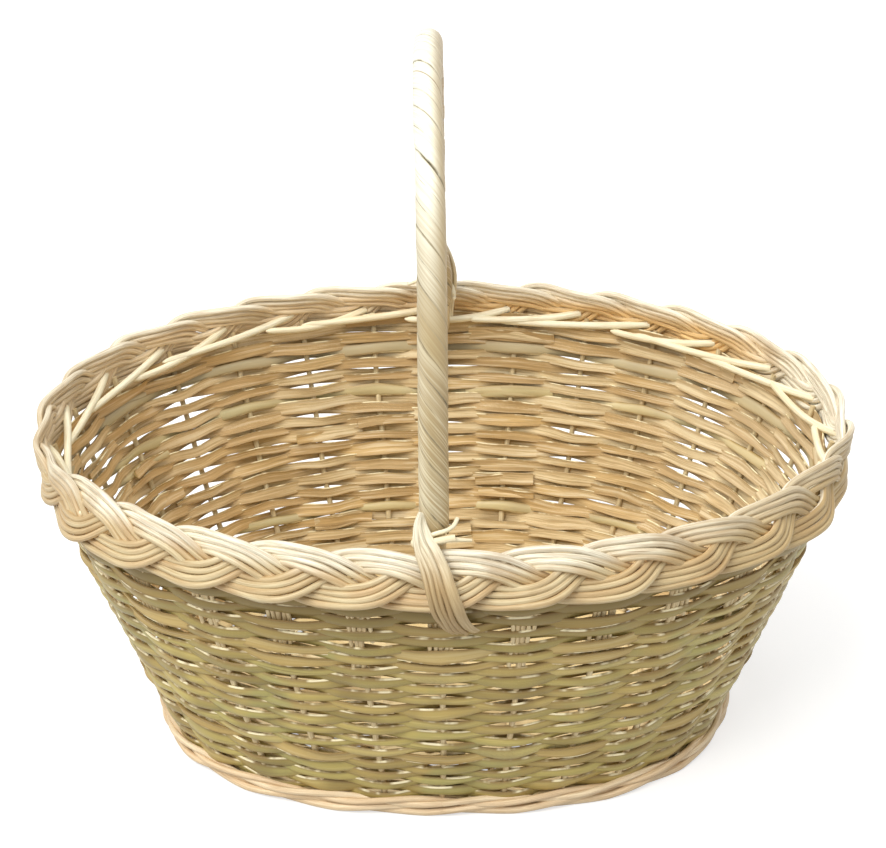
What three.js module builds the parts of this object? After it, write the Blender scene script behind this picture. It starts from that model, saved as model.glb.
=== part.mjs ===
import * as THREE from 'three';

// Oval woven basket with an overhead handle. Millimetres, +Z up, X along the oval, front towards -Y.

// Overall shape, measured on the middle line of the upright stakes
const RIM_HALF_LONG = 200;
const RIM_HALF_SHORT = 154;
const BASE_HALF_LONG = 141.5;
const BASE_HALF_SHORT = 112;
const BORDER_Z = 156;
const RIM_DIP = 3.5;
const FLARE_POWER = 1.14;
const RIM_SQUARENESS = 2.1;
const BASE_SQUARENESS = 2.35;
const SEAT_GAP = 0.3;

// Plaited border of three strands, its face leaning outwards
const STRAND_COUNT = 3;
const PLAIT_HALF_WIDTH = 9.5;
const PLAIT_HALF_DEPTH = 5.5;
const STRAND_HALF_WIDTH = 5.1;
const STRAND_HALF_THICK = 3;
const STRAND_TILT_DEG = 32;
const PLAIT_LEAN_DEG = 62;
const STRAND_STEPS = 88;
const STRAND_SIDES = 6;
const STRAND_END_GAP = 0.4;

// How far the plait reaches from its middle line: up, sideways, and straight down over the stakes
const LEAN = THREE.MathUtils.degToRad(PLAIT_LEAN_DEG);
const PLAIT_FACE = PLAIT_HALF_WIDTH + STRAND_HALF_WIDTH;
const PLAIT_BULGE = 1.3;
const PLAIT_BODY = PLAIT_HALF_DEPTH + STRAND_HALF_THICK + PLAIT_BULGE;
const PLAIT_RISE = Math.hypot(PLAIT_FACE * Math.sin(LEAN), PLAIT_BODY * Math.cos(LEAN));
const PLAIT_REACH = Math.hypot(PLAIT_FACE * Math.cos(LEAN), PLAIT_BODY * Math.sin(LEAN));
const PLAIT_DROP = 1 / Math.hypot(Math.sin(LEAN) / PLAIT_FACE, Math.cos(LEAN) / PLAIT_BODY);

// Upright stakes, their bend at the foot and their inner ends in the base
const STAKE_COUNT = 28;
const STAKE_RADIUS = 1.6;
const STAKE_SIDES = 5;
const STAKE_TOP_Z = BORDER_Z - PLAIT_DROP - SEAT_GAP;
const STAKE_WALL_SHARES = [0.32, 0.64, 0.87, 1];
const BASE_Z = 6.8;
const BEND_INSET = 4.6;
const BEND_Z = 11.6;
const BEND_STEPS = 3;
const SPOKE_INSET = 62;

// Split weavers of the siding
const ROW_COUNT = 30;
const SIDING_ABOVE_BEND = 2.2;
const SIDING_BELOW_STAKE_TOP = 3.9;
const SIDING_LOW_Z = BEND_Z + SIDING_ABOVE_BEND;
const SIDING_HIGH_Z = STAKE_TOP_Z - SIDING_BELOW_STAKE_TOP;
const WEAVER_THICK = 1.2;
const WEAVER_WIDTH = 3.7;
const WEAVER_TAIL = 0.36;
const WEAVERS_PER_START = 3;
const WEAVER_STARTS = 2;

// Woven zone of the base
const BASE_ROW_COUNT = 6;
const BASE_ROW_FIRST_INSET = 9.2;
const BASE_ROW_END_CLEAR = 10;
const BASE_ROW_LAST_INSET = SPOKE_INSET - BASE_ROW_END_CLEAR;
const BASE_WEAVER_WIDTH = 5.6;

// Centre mat of the base: wide splints lengthwise and crosswise
const SPLINT_THICK = 1.2;
const SPLINT_LEVEL = 0.8;
const SPLINT_OVER = 4.8;
const MAT_LIFT = STAKE_RADIUS + SEAT_GAP + SPLINT_LEVEL + SPLINT_THICK / 2;
const LONG_SPLINT_COUNT = 3;
const LONG_SPLINT_HALF = BASE_HALF_LONG - SPOKE_INSET + SPLINT_OVER;
const LONG_SPLINT_EDGE_CUT = 25;
const LONG_SPLINT_SPACE = 6;
const LONG_SPLINT_MARGIN = 22.8;
const CROSS_SPLINT_COUNT = 4;
const CROSS_SPLINT_HALF = BASE_HALF_SHORT - SPOKE_INSET + SPLINT_OVER;
const CROSS_SPLINT_EDGE_CUT = 10;
const CROSS_SPLINT_SPACE = 7;
const CROSS_SPLINT_MARGIN = 34.8;
const LONG_SPLINT_PITCH = (CROSS_SPLINT_HALF - LONG_SPLINT_MARGIN) * 2 / (LONG_SPLINT_COUNT - 1);
const LONG_SPLINT_WIDTH = LONG_SPLINT_PITCH - LONG_SPLINT_SPACE;
const CROSS_SPLINT_PITCH = (LONG_SPLINT_HALF - CROSS_SPLINT_MARGIN) * 2 / (CROSS_SPLINT_COUNT - 1);
const CROSS_SPLINT_WIDTH = CROSS_SPLINT_PITCH - CROSS_SPLINT_SPACE;

// Foot band: a twisted pair of rods around the bottom edge
const FOOT_ROD_RADIUS = 1.75;
const FOOT_TWIST_RADIUS = 2.1;
const FOOT_OFFSET = 4.1;
const FOOT_AXIS_Z = 2.8;
const FOOT_TURNS = 13;
const FOOT_STEPS_PER_TURN = 6;
const FOOT_SIDES = 4;

// Pale rod tails lying in a chain under the plait, inside
const TAIL_RADIUS = 1.5;
const TAIL_INSET = STAKE_RADIUS + WEAVER_THICK + 2 * SEAT_GAP + TAIL_RADIUS;
const TAIL_BELOW_STAKE_TOP = 4.2;
const TAIL_Z = STAKE_TOP_Z - TAIL_BELOW_STAKE_TOP;
const TAIL_WAVE = 2.2;
const TAIL_SIDES = 4;

// Handle hoop across the short axis
const HANDLE_RADIUS = 7;
const HANDLE_CROWN = 0.25;
const HANDLE_OUTER = HANDLE_RADIUS + HANDLE_CROWN;
const HANDLE_FOOT_Y = RIM_HALF_SHORT - PLAIT_REACH - SEAT_GAP - HANDLE_OUTER;
const HANDLE_FRONT_X = -2.9;
const HANDLE_TOP_X = -5.7;
const HANDLE_BACK_X = -2.5;
const HANDLE_LEAN_POWER = 6;
const HANDLE_FLARE_LOW_Z = BORDER_Z + 22;
const HANDLE_FLARE_HIGH_Z = BORDER_Z + 51;
const HANDLE_RISE = 198.5;
const HANDLE_SPRING_Z = BORDER_Z;
const HANDLE_TOP_Z = HANDLE_SPRING_Z + HANDLE_RISE;
const HANDLE_SQUARENESS = 2.25;
const HANDLE_CORE_RADIUS = 3.5;
const HANDLE_TIP_RADIUS = 1.5;
const HANDLE_TIP_Z = BORDER_Z - 49;
const HANDLE_PEG_RADIUS = 2.3;
const HANDLE_PEG_Z = BORDER_Z - 23;
const HANDLE_WRAP_COUNT = 4;
const HANDLE_WRAP_LEAD = 50;
const HANDLE_WRAP_STEPS_PER_TURN = 6;
const HANDLE_WRAP_INNER = 5.7;
const HANDLE_WRAP_SHOULDER = 0.72;
const HANDLE_WRAP_END_Z = BORDER_Z - 5;
const HANDLE_CORE_SIDES = 6;
const HANDLE_CORE_STEPS = 26;

// Lashing rings at the feet of the handle and the bundles that cross the border
const LASH_TURNS = 1.8;
const LASH_RADIUS = 1.4;
const LASH_LIFT = 3.4;
const LASH_Z = BORDER_Z + PLAIT_RISE + LASH_RADIUS + LASH_LIFT;
const LASH_PITCH = 3.5;
const LASH_STEPS_PER_TURN = 9;
const LASH_SIDES = 5;
const BUNDLE_HALF_WIDTH = 5.6;
const BUNDLE_HALF_THICK = 1.7;
const BUNDLE_STEPS = 14;
const BUNDLE_SIDES = 6;
const BUNDLE_CLEAR = 0.7;
const BUNDLE_START_X = -5;
const BUNDLE_END_X = 11.4;
const BUNDLE_START_HEIGHT = 37;
const BUNDLE_LASH_HEIGHT = 25;
const BUNDLE_LEG_DRIFT = 0.15;
const BUNDLE_ARC_FIRST_DEG = 48;
const BUNDLE_ARC_LAST_DEG = 168;
const BUNDLE_ARC_STEPS = 6;
const BUNDLE_ARC_FIRST_SHARE = 0.3;
const BUNDLE_ARC_LAST_SHARE = 0.9;
const BUNDLE_TUCK_DROP = 28.5;

// Photo colours
const COLOUR_STAKE = 0xb59d6c;
const COLOUR_SIDING = 0xa39a60;
const COLOUR_BASE = 0xb8a06c;
const COLOUR_SPLINT = 0xc2ab76;
const COLOUR_FOOT = 0xcfae85;
const COLOUR_BORDER = 0xdcc598;
const COLOUR_TAIL = 0xe6d9b0;
const COLOUR_HANDLE = 0xe9e0bd;
const COLOUR_CORE = 0xc9ad7c;

const basket = new THREE.Group();
basket.name = 'oval_woven_basket';

function addPiece(name, geometry, colour, roughness) {
  const material = new THREE.MeshStandardMaterial({ color: colour, roughness: roughness, metalness: 0 });
  const mesh = new THREE.Mesh(geometry, material);
  mesh.name = name;
  basket.add(mesh);
}

// One closed body from a run of rings of equal point count, open runs capped at both ends
function bodyFromRings(rings, closed) {
  const sides = rings[0].length;
  const positions = [];
  const index = [];
  for (const ring of rings) {
    for (const point of ring) {
      positions.push(point.x, point.y, point.z);
    }
  }
  const spans = closed ? rings.length : rings.length - 1;
  for (let i = 0; i < spans; i += 1) {
    const here = i * sides;
    const next = ((i + 1) % rings.length) * sides;
    for (let k = 0; k < sides; k += 1) {
      const l = (k + 1) % sides;
      index.push(here + k, next + k, next + l);
      index.push(here + k, next + l, here + l);
    }
  }
  if (!closed) {
    const last = (rings.length - 1) * sides;
    for (let k = 1; k < sides - 1; k += 1) {
      index.push(0, k, k + 1);
      index.push(last, last + k + 1, last + k);
    }
  }
  let volume = 0;
  const a = new THREE.Vector3();
  const b = new THREE.Vector3();
  const c = new THREE.Vector3();
  for (let i = 0; i < index.length; i += 3) {
    a.fromArray(positions, index[i] * 3);
    b.fromArray(positions, index[i + 1] * 3);
    c.fromArray(positions, index[i + 2] * 3);
    volume += a.dot(b.cross(c));
  }
  if (volume < 0) {
    for (let i = 0; i < index.length; i += 3) {
      const keep = index[i + 1];
      index[i + 1] = index[i + 2];
      index[i + 2] = keep;
    }
  }
  const geometry = new THREE.BufferGeometry();
  geometry.setAttribute('position', new THREE.Float32BufferAttribute(positions, 3));
  geometry.setIndex(index);
  geometry.computeVertexNormals();
  return geometry;
}

// Ellipse ring around a centre, spanned by two unit directions
function ellipseRing(centre, alongU, alongV, halfU, halfV, sides, turn) {
  const ring = [];
  for (let k = 0; k < sides; k += 1) {
    const angle = (k / sides) * Math.PI * 2 + turn;
    const point = centre.clone();
    point.addScaledVector(alongU, halfU * Math.cos(angle));
    point.addScaledVector(alongV, halfV * Math.sin(angle));
    ring.push(point);
  }
  return ring;
}

// Point of a rounded oval at angle t
function ovalPoint(halfLong, halfShort, squareness, t) {
  const c = Math.cos(t);
  const s = Math.sin(t);
  const radial = Math.pow(Math.abs(c) ** squareness + Math.abs(s) ** squareness, -1 / squareness);
  return [halfLong * radial * c, halfShort * radial * s];
}

// Middle surface of the wall at angle t and nominal height z
function wallPoint(t, z) {
  const h = z / BORDER_Z;
  const share = 1 - Math.pow(Math.max(1 - h, 0), FLARE_POWER);
  const halfLong = BASE_HALF_LONG + (RIM_HALF_LONG - BASE_HALF_LONG) * share;
  const halfShort = BASE_HALF_SHORT + (RIM_HALF_SHORT - BASE_HALF_SHORT) * share;
  const squareness = BASE_SQUARENESS + (RIM_SQUARENESS - BASE_SQUARENESS) * share;
  const [x, y] = ovalPoint(halfLong, halfShort, squareness, t);
  return new THREE.Vector3(x, y, z - RIM_DIP * h * Math.cos(t) ** 2);
}

// Flat base at angle t, a given distance in from the bottom edge
function basePoint(t, inset) {
  const edge = wallPoint(t, BASE_Z);
  const [x, y] = ovalPoint(BASE_HALF_LONG - inset, BASE_HALF_SHORT - inset, BASE_SQUARENESS, t);
  const [x0, y0] = ovalPoint(BASE_HALF_LONG, BASE_HALF_SHORT, BASE_SQUARENESS, t);
  return new THREE.Vector3(x + edge.x - x0, y + edge.y - y0, BASE_Z);
}

const STEP_T = 0.01;
const STEP_Z = 0.5;

// Directions on the wall: round the basket, up the wall and outwards
function wallFrame(t, z) {
  const round = wallPoint(t + STEP_T, z).sub(wallPoint(t - STEP_T, z)).normalize();
  const up = wallPoint(t, z + STEP_Z).sub(wallPoint(t, z - STEP_Z)).normalize();
  const out = round.clone().cross(up).normalize();
  return { round: round, up: up, out: out };
}

// Angles of equally spaced stations along the rim, the first at the middle of the front
const FRONT_T = -Math.PI / 2;
const RIM_SAMPLES = 2880;
const rimLengths = [0];
for (let i = 1; i <= RIM_SAMPLES; i += 1) {
  const t0 = FRONT_T + ((i - 1) / RIM_SAMPLES) * Math.PI * 2;
  const t1 = FRONT_T + (i / RIM_SAMPLES) * Math.PI * 2;
  const span = wallPoint(t1, BORDER_Z).distanceTo(wallPoint(t0, BORDER_Z));
  rimLengths.push(rimLengths[i - 1] + span);
}
const RIM_LENGTH = rimLengths[RIM_SAMPLES];

// Angle at a fraction of the way round the rim, whole turns allowed
function rimAngle(turns) {
  const whole = Math.floor(turns);
  const target = (turns - whole) * RIM_LENGTH;
  let low = 0;
  let high = RIM_SAMPLES;
  while (high - low > 1) {
    const middle = Math.floor((low + high) / 2);
    if (rimLengths[middle] <= target) {
      low = middle;
    } else {
      high = middle;
    }
  }
  const share = (target - rimLengths[low]) / (rimLengths[low + 1] - rimLengths[low]);
  return FRONT_T + (whole + (low + share) / RIM_SAMPLES) * Math.PI * 2;
}

// Stakes: inner end in the base, bend at the bottom edge, then up the wall to the plait
function stakeGeometry(t) {
  const path = [];
  path.push(basePoint(t, SPOKE_INSET));
  const bendStart = basePoint(t, BEND_INSET);
  const bendCorner = basePoint(t, 0);
  const bendEnd = wallPoint(t, BEND_Z);
  for (let i = 0; i <= BEND_STEPS; i += 1) {
    const f = i / BEND_STEPS;
    const point = bendStart.clone().multiplyScalar((1 - f) ** 2);
    point.addScaledVector(bendCorner, 2 * f * (1 - f));
    point.addScaledVector(bendEnd, f ** 2);
    path.push(point);
  }
  for (const share of STAKE_WALL_SHARES) {
    path.push(wallPoint(t, BEND_Z + (STAKE_TOP_Z - BEND_Z) * share));
  }
  const round = wallFrame(t, BEND_Z).round;
  const rings = [];
  for (let i = 0; i < path.length; i += 1) {
    const before = path[Math.max(i - 1, 0)];
    const after = path[Math.min(i + 1, path.length - 1)];
    const along = after.clone().sub(before).normalize();
    const out = along.clone().cross(round).normalize();
    rings.push(ellipseRing(path[i], round, out, STAKE_RADIUS, STAKE_RADIUS, STAKE_SIDES, 0));
  }
  return bodyFromRings(rings, false);
}

for (let i = 0; i < STAKE_COUNT; i += 1) {
  const label = String(i + 1).padStart(2, '0');
  addPiece('stake_' + label, stakeGeometry(rimAngle(i / STAKE_COUNT)), COLOUR_STAKE, 0.6);
}

// How far a weaver's middle stands off the stakes, more where the stakes are close together
function weaveOffset(spacing) {
  const least = STAKE_RADIUS + WEAVER_THICK / 2 + SEAT_GAP;
  const slope = (2 * least) / spacing;
  return least * Math.sqrt(1 + slope * slope);
}

function stripRing(centre, across, normal, width, thick) {
  const ring = [];
  const corners = [[-1, -1], [1, -1], [1, 1], [-1, 1]];
  for (const [a, n] of corners) {
    const point = centre.clone();
    point.addScaledVector(across, (a * width) / 2);
    point.addScaledVector(normal, (n * thick) / 2);
    ring.push(point);
  }
  return ring;
}

// Siding: two weavers chase each other, each one row apart and on opposite sides of every stake
const ROWS_PER_START = ROW_COUNT / WEAVER_STARTS;
const CROSSINGS_PER_WEAVER = (ROWS_PER_START / WEAVERS_PER_START) * STAKE_COUNT;
const ROW_PITCH = (SIDING_HIGH_Z - SIDING_LOW_Z) / (ROW_COUNT + 1);

function sidingRing(station, start) {
  const turns = station / STAKE_COUNT;
  const z = SIDING_LOW_Z + ROW_PITCH * (turns * WEAVER_STARTS + start);
  const t = rimAngle(turns);
  const frame = wallFrame(t, z);
  const nextT = rimAngle(turns + 1 / STAKE_COUNT);
  const spacing = wallPoint(t, z).distanceTo(wallPoint(nextT, z));
  const side = Math.cos(Math.PI * (station + start));
  const centre = wallPoint(t, z).addScaledVector(frame.out, side * weaveOffset(spacing));
  return stripRing(centre, frame.up, frame.out, WEAVER_WIDTH, WEAVER_THICK);
}

for (let start = 0; start < WEAVER_STARTS; start += 1) {
  for (let part = 0; part < WEAVERS_PER_START; part += 1) {
    const first = part * CROSSINGS_PER_WEAVER;
    const last = first + CROSSINGS_PER_WEAVER - 1;
    const rings = [sidingRing(first - WEAVER_TAIL, start)];
    for (let station = first; station <= last; station += 1) {
      rings.push(sidingRing(station, start));
    }
    rings.push(sidingRing(last + WEAVER_TAIL, start));
    const label = String.fromCharCode(97 + start) + (part + 1);
    addPiece('siding_weaver_' + label, bodyFromRings(rings, false), COLOUR_SIDING, 0.55);
  }
}

// Woven zone of the base: the same over and under, lying flat
const BASE_ROWS_PER_START = BASE_ROW_COUNT / WEAVER_STARTS;
const BASE_ROW_PITCH = (BASE_ROW_LAST_INSET - BASE_ROW_FIRST_INSET) / (BASE_ROW_COUNT + 1);

function baseRing(station, start) {
  const turns = station / STAKE_COUNT;
  const inset = BASE_ROW_FIRST_INSET + BASE_ROW_PITCH * (turns * WEAVER_STARTS + start);
  const t = rimAngle(turns);
  const centre = basePoint(t, inset);
  const spacing = centre.distanceTo(basePoint(rimAngle(turns + 1 / STAKE_COUNT), inset));
  const inward = basePoint(t, inset + 1).sub(basePoint(t, inset - 1)).normalize();
  const upward = new THREE.Vector3(0, 0, 1);
  const side = Math.cos(Math.PI * (station + start));
  centre.addScaledVector(upward, side * weaveOffset(spacing));
  return stripRing(centre, inward, upward, BASE_WEAVER_WIDTH, WEAVER_THICK);
}

for (let start = 0; start < WEAVER_STARTS; start += 1) {
  const last = BASE_ROWS_PER_START * STAKE_COUNT - 1;
  const rings = [baseRing(-WEAVER_TAIL, start)];
  for (let station = 0; station <= last; station += 1) {
    rings.push(baseRing(station, start));
  }
  rings.push(baseRing(last + WEAVER_TAIL, start));
  addPiece('base_weaver_' + (start + 1), bodyFromRings(rings, false), COLOUR_BASE, 0.6);
}

// Centre mat: splints pass over and under each other above the inner ends of the stakes
function splintGeometry(half, width, offset, crossPitch, crossWidth, crossCount, firstSide, lengthwise) {
  const rings = [];
  const along = lengthwise ? new THREE.Vector3(1, 0, 0) : new THREE.Vector3(0, 1, 0);
  const across = lengthwise ? new THREE.Vector3(0, 1, 0) : new THREE.Vector3(1, 0, 0);
  const up = new THREE.Vector3(0, 0, 1);
  const stations = [];
  for (let i = 0; i < crossCount; i += 1) {
    const middle = (i - (crossCount - 1) / 2) * crossPitch;
    const side = i % 2 === 0 ? firstSide : -firstSide;
    stations.push([middle - crossWidth / 2, side]);
    stations.push([middle + crossWidth / 2, side]);
  }
  stations[0][0] = Math.min(-half, stations[0][0]);
  stations[stations.length - 1][0] = Math.max(half, stations[stations.length - 1][0]);
  for (const [where, side] of stations) {
    const centre = along.clone().multiplyScalar(where);
    centre.addScaledVector(across, offset);
    centre.addScaledVector(up, BASE_Z + MAT_LIFT + side * SPLINT_LEVEL);
    rings.push(stripRing(centre, across, up, width, SPLINT_THICK));
  }
  return bodyFromRings(rings, false);
}

for (let i = 0; i < LONG_SPLINT_COUNT; i += 1) {
  const offset = (i - (LONG_SPLINT_COUNT - 1) / 2) * LONG_SPLINT_PITCH;
  const half = LONG_SPLINT_HALF - (offset === 0 ? 0 : LONG_SPLINT_EDGE_CUT);
  const side = i % 2 === 0 ? 1 : -1;
  const piece = splintGeometry(
    half, LONG_SPLINT_WIDTH, offset, CROSS_SPLINT_PITCH, CROSS_SPLINT_WIDTH, CROSS_SPLINT_COUNT, side, true,
  );
  addPiece('base_splint_long_' + (i + 1), piece, COLOUR_SPLINT, 0.6);
}
for (let i = 0; i < CROSS_SPLINT_COUNT; i += 1) {
  const offset = (i - (CROSS_SPLINT_COUNT - 1) / 2) * CROSS_SPLINT_PITCH;
  const outer = i === 0 || i === CROSS_SPLINT_COUNT - 1;
  const half = CROSS_SPLINT_HALF - (outer ? CROSS_SPLINT_EDGE_CUT : 0);
  const side = i % 2 === 0 ? -1 : 1;
  const piece = splintGeometry(
    half, CROSS_SPLINT_WIDTH, offset, LONG_SPLINT_PITCH, LONG_SPLINT_WIDTH, LONG_SPLINT_COUNT, side, false,
  );
  addPiece('base_splint_cross_' + (i + 1), piece, COLOUR_SPLINT, 0.6);
}

// Foot band: a pair of rods twisted round each other, worn flat where they touch the ground
function footGeometry(phase) {
  const rings = [];
  const steps = FOOT_TURNS * FOOT_STEPS_PER_TURN;
  for (let i = 0; i < steps; i += 1) {
    const t = rimAngle(i / steps);
    const frame = wallFrame(t, STEP_Z);
    const out = new THREE.Vector3(frame.out.x, frame.out.y, 0).normalize();
    const up = new THREE.Vector3(0, 0, 1);
    const angle = (i / FOOT_STEPS_PER_TURN) * Math.PI * 2 + phase;
    const centre = wallPoint(t, 0);
    centre.z = FOOT_AXIS_Z;
    centre.addScaledVector(out, FOOT_OFFSET + FOOT_TWIST_RADIUS * Math.cos(angle));
    centre.addScaledVector(up, FOOT_TWIST_RADIUS * Math.sin(angle));
    const ring = ellipseRing(centre, out, up, FOOT_ROD_RADIUS, FOOT_ROD_RADIUS, FOOT_SIDES, Math.PI / 4);
    for (const point of ring) {
      point.z = Math.max(point.z, 0);
    }
    rings.push(ring);
  }
  return bodyFromRings(rings, true);
}

addPiece('foot_rod_1', footGeometry(0), COLOUR_FOOT, 0.55);
addPiece('foot_rod_2', footGeometry(Math.PI), COLOUR_FOOT, 0.55);

// Plaited border: each strand runs once round and is followed end to end by the next
const PLAIT_PERIODS = STAKE_COUNT / STRAND_COUNT;
const TILT = THREE.MathUtils.degToRad(STRAND_TILT_DEG);

const STEP_TURN = 0.0005;

function plaitPoint(turns, phase) {
  const t = rimAngle(turns);
  const frame = wallFrame(t, BORDER_Z - STEP_Z);
  const out = new THREE.Vector3(frame.out.x, frame.out.y, 0).normalize();
  const up = new THREE.Vector3(0, 0, 1);
  const across = out.clone().multiplyScalar(Math.cos(LEAN)).addScaledVector(up, -Math.sin(LEAN));
  const face = out.clone().multiplyScalar(Math.sin(LEAN)).addScaledVector(up, Math.cos(LEAN));
  const angle = turns * PLAIT_PERIODS * Math.PI * 2 + phase;
  const centre = wallPoint(t, BORDER_Z);
  centre.addScaledVector(across, PLAIT_HALF_WIDTH * Math.sin(angle));
  centre.addScaledVector(face, -PLAIT_HALF_DEPTH * Math.sin(2 * angle));
  return { centre: centre, across: across, face: face, angle: angle };
}

function strandGeometry(order) {
  const rings = [];
  const phase = (order * PLAIT_PERIODS * Math.PI * 2) % (Math.PI * 2);
  const first = STRAND_END_GAP / RIM_LENGTH;
  const span = 1 - 2 * first;
  for (let i = 0; i <= STRAND_STEPS; i += 1) {
    const turns = first + (span * i) / STRAND_STEPS;
    const here = plaitPoint(turns, phase);
    const ahead = plaitPoint(turns + STEP_TURN, phase).centre;
    const along = ahead.sub(plaitPoint(turns - STEP_TURN, phase).centre).normalize();
    const tilt = TILT * Math.cos(here.angle);
    const wide = here.across.clone().multiplyScalar(Math.cos(tilt));
    wide.addScaledVector(here.face, -Math.sin(tilt));
    wide.addScaledVector(along, -wide.dot(along)).normalize();
    const thick = along.clone().cross(wide).normalize();
    rings.push(ellipseRing(here.centre, wide, thick, STRAND_HALF_WIDTH, STRAND_HALF_THICK, STRAND_SIDES, 0));
  }
  return bodyFromRings(rings, false);
}

for (let order = 0; order < STRAND_COUNT; order += 1) {
  addPiece('border_strand_' + (order + 1), strandGeometry(order), COLOUR_BORDER, 0.5);
}

// Rod tails that follow one another round the inside, under the plait
const TAIL_STEPS_PER_STAKE = 2;
const tailRings = [];
for (let i = 0; i < STAKE_COUNT * TAIL_STEPS_PER_STAKE; i += 1) {
  const t = rimAngle(i / (STAKE_COUNT * TAIL_STEPS_PER_STAKE));
  const wave = i % TAIL_STEPS_PER_STAKE === 0 ? TAIL_WAVE : -TAIL_WAVE;
  const frame = wallFrame(t, TAIL_Z);
  const centre = wallPoint(t, TAIL_Z + wave).addScaledVector(frame.out, -TAIL_INSET);
  tailRings.push(ellipseRing(centre, frame.out, frame.up, TAIL_RADIUS, TAIL_RADIUS, TAIL_SIDES, 0));
}
addPiece('inner_rim_rod', bodyFromRings(tailRings, true), COLOUR_TAIL, 0.5);

// Handle hoop: straight pegs at both ends, then a rounded arch that leans a little to the left,
// with its back leg swung out again near the border
function archPoint(share) {
  const angle = share * Math.PI;
  const c = Math.cos(angle);
  const s = Math.sin(angle);
  const y = -Math.sign(c) * HANDLE_FOOT_Y * Math.pow(Math.abs(c), 2 / HANDLE_SQUARENESS);
  const rise = Math.pow(Math.abs(s), 2 / HANDLE_SQUARENESS);
  const z = HANDLE_SPRING_Z + (HANDLE_TOP_Z - HANDLE_SPRING_Z) * rise;
  const frontX = HANDLE_FRONT_X + (HANDLE_TOP_X - HANDLE_FRONT_X) * Math.pow(rise, HANDLE_LEAN_POWER);
  const flare = 1 - THREE.MathUtils.smoothstep(z, HANDLE_FLARE_LOW_Z, HANDLE_FLARE_HIGH_Z);
  const backX = HANDLE_TOP_X + (HANDLE_BACK_X - HANDLE_TOP_X) * flare;
  return new THREE.Vector3(y < 0 ? frontX : backX, y, z);
}

const ARCH_SAMPLES = 400;
const hoopPoints = [];
for (let i = 0; i <= ARCH_SAMPLES; i += 1) {
  hoopPoints.push(archPoint(i / ARCH_SAMPLES));
}
const frontFoot = new THREE.Vector3(HANDLE_FRONT_X, -HANDLE_FOOT_Y, HANDLE_WRAP_END_Z);
const backFoot = new THREE.Vector3(HANDLE_BACK_X, HANDLE_FOOT_Y, HANDLE_WRAP_END_Z);
hoopPoints.unshift(frontFoot);
hoopPoints.push(backFoot);
const hoopLengths = [0];
for (let i = 1; i < hoopPoints.length; i += 1) {
  hoopLengths.push(hoopLengths[i - 1] + hoopPoints[i].distanceTo(hoopPoints[i - 1]));
}
const HOOP_LENGTH = hoopLengths[hoopLengths.length - 1];

function hoopPoint(length) {
  let i = 1;
  while (i < hoopLengths.length - 1 && hoopLengths[i] < length) {
    i += 1;
  }
  const share = (length - hoopLengths[i - 1]) / (hoopLengths[i] - hoopLengths[i - 1]);
  return hoopPoints[i - 1].clone().lerp(hoopPoints[i], share);
}

// Directions across the hoop: sideways along X and outwards from the arch
const HOOP_PROBE = 3;
function hoopFrame(length) {
  const low = Math.max(length - HOOP_PROBE, 0);
  const high = Math.min(length + HOOP_PROBE, HOOP_LENGTH);
  const along = hoopPoint(high).sub(hoopPoint(low)).normalize();
  const side = new THREE.Vector3(1, 0, 0);
  side.addScaledVector(along, -side.dot(along)).normalize();
  const out = side.clone().cross(along).normalize();
  return { point: hoopPoint(length), along: along, side: side, out: out };
}

// Core of the handle, pointed where it is pushed down inside the wall
const coreRings = [];
const pegInset = STAKE_RADIUS + WEAVER_THICK + 2 * SEAT_GAP + HANDLE_TIP_RADIUS;
const pegPassInset = TAIL_INSET + TAIL_RADIUS + SEAT_GAP + HANDLE_PEG_RADIUS;
function pegRing(side, z, radius, inset) {
  const t = side * Math.PI / 2;
  const wall = wallPoint(t, z);
  const footX = side < 0 ? HANDLE_FRONT_X : HANDLE_BACK_X;
  const centre = new THREE.Vector3(footX, side * (Math.abs(wall.y) - inset), z);
  const x = new THREE.Vector3(1, 0, 0);
  const y = new THREE.Vector3(0, side, 0);
  return ellipseRing(centre, x, y, radius, radius, HANDLE_CORE_SIDES, 0);
}
coreRings.push(pegRing(-1, HANDLE_TIP_Z, HANDLE_TIP_RADIUS, pegInset));
coreRings.push(pegRing(-1, HANDLE_PEG_Z, HANDLE_PEG_RADIUS, pegPassInset));
for (let i = 0; i <= HANDLE_CORE_STEPS; i += 1) {
  const frame = hoopFrame((HOOP_LENGTH * i) / HANDLE_CORE_STEPS);
  const radius = HANDLE_CORE_RADIUS;
  coreRings.push(ellipseRing(frame.point, frame.side, frame.out, radius, radius, HANDLE_CORE_SIDES, 0));
}
coreRings.push(pegRing(1, HANDLE_PEG_Z, HANDLE_PEG_RADIUS, pegPassInset));
coreRings.push(pegRing(1, HANDLE_TIP_Z, HANDLE_TIP_RADIUS, pegInset));

addPiece('handle_core', bodyFromRings(coreRings, false), COLOUR_CORE, 0.6);

// Skeins wound side by side round the core
const WRAP_TURNS = HOOP_LENGTH / HANDLE_WRAP_LEAD;
const WRAP_GAP_ANGLE = SEAT_GAP / HANDLE_WRAP_INNER;
const WRAP_HALF_ANGLE = Math.PI / HANDLE_WRAP_COUNT - WRAP_GAP_ANGLE;

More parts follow.
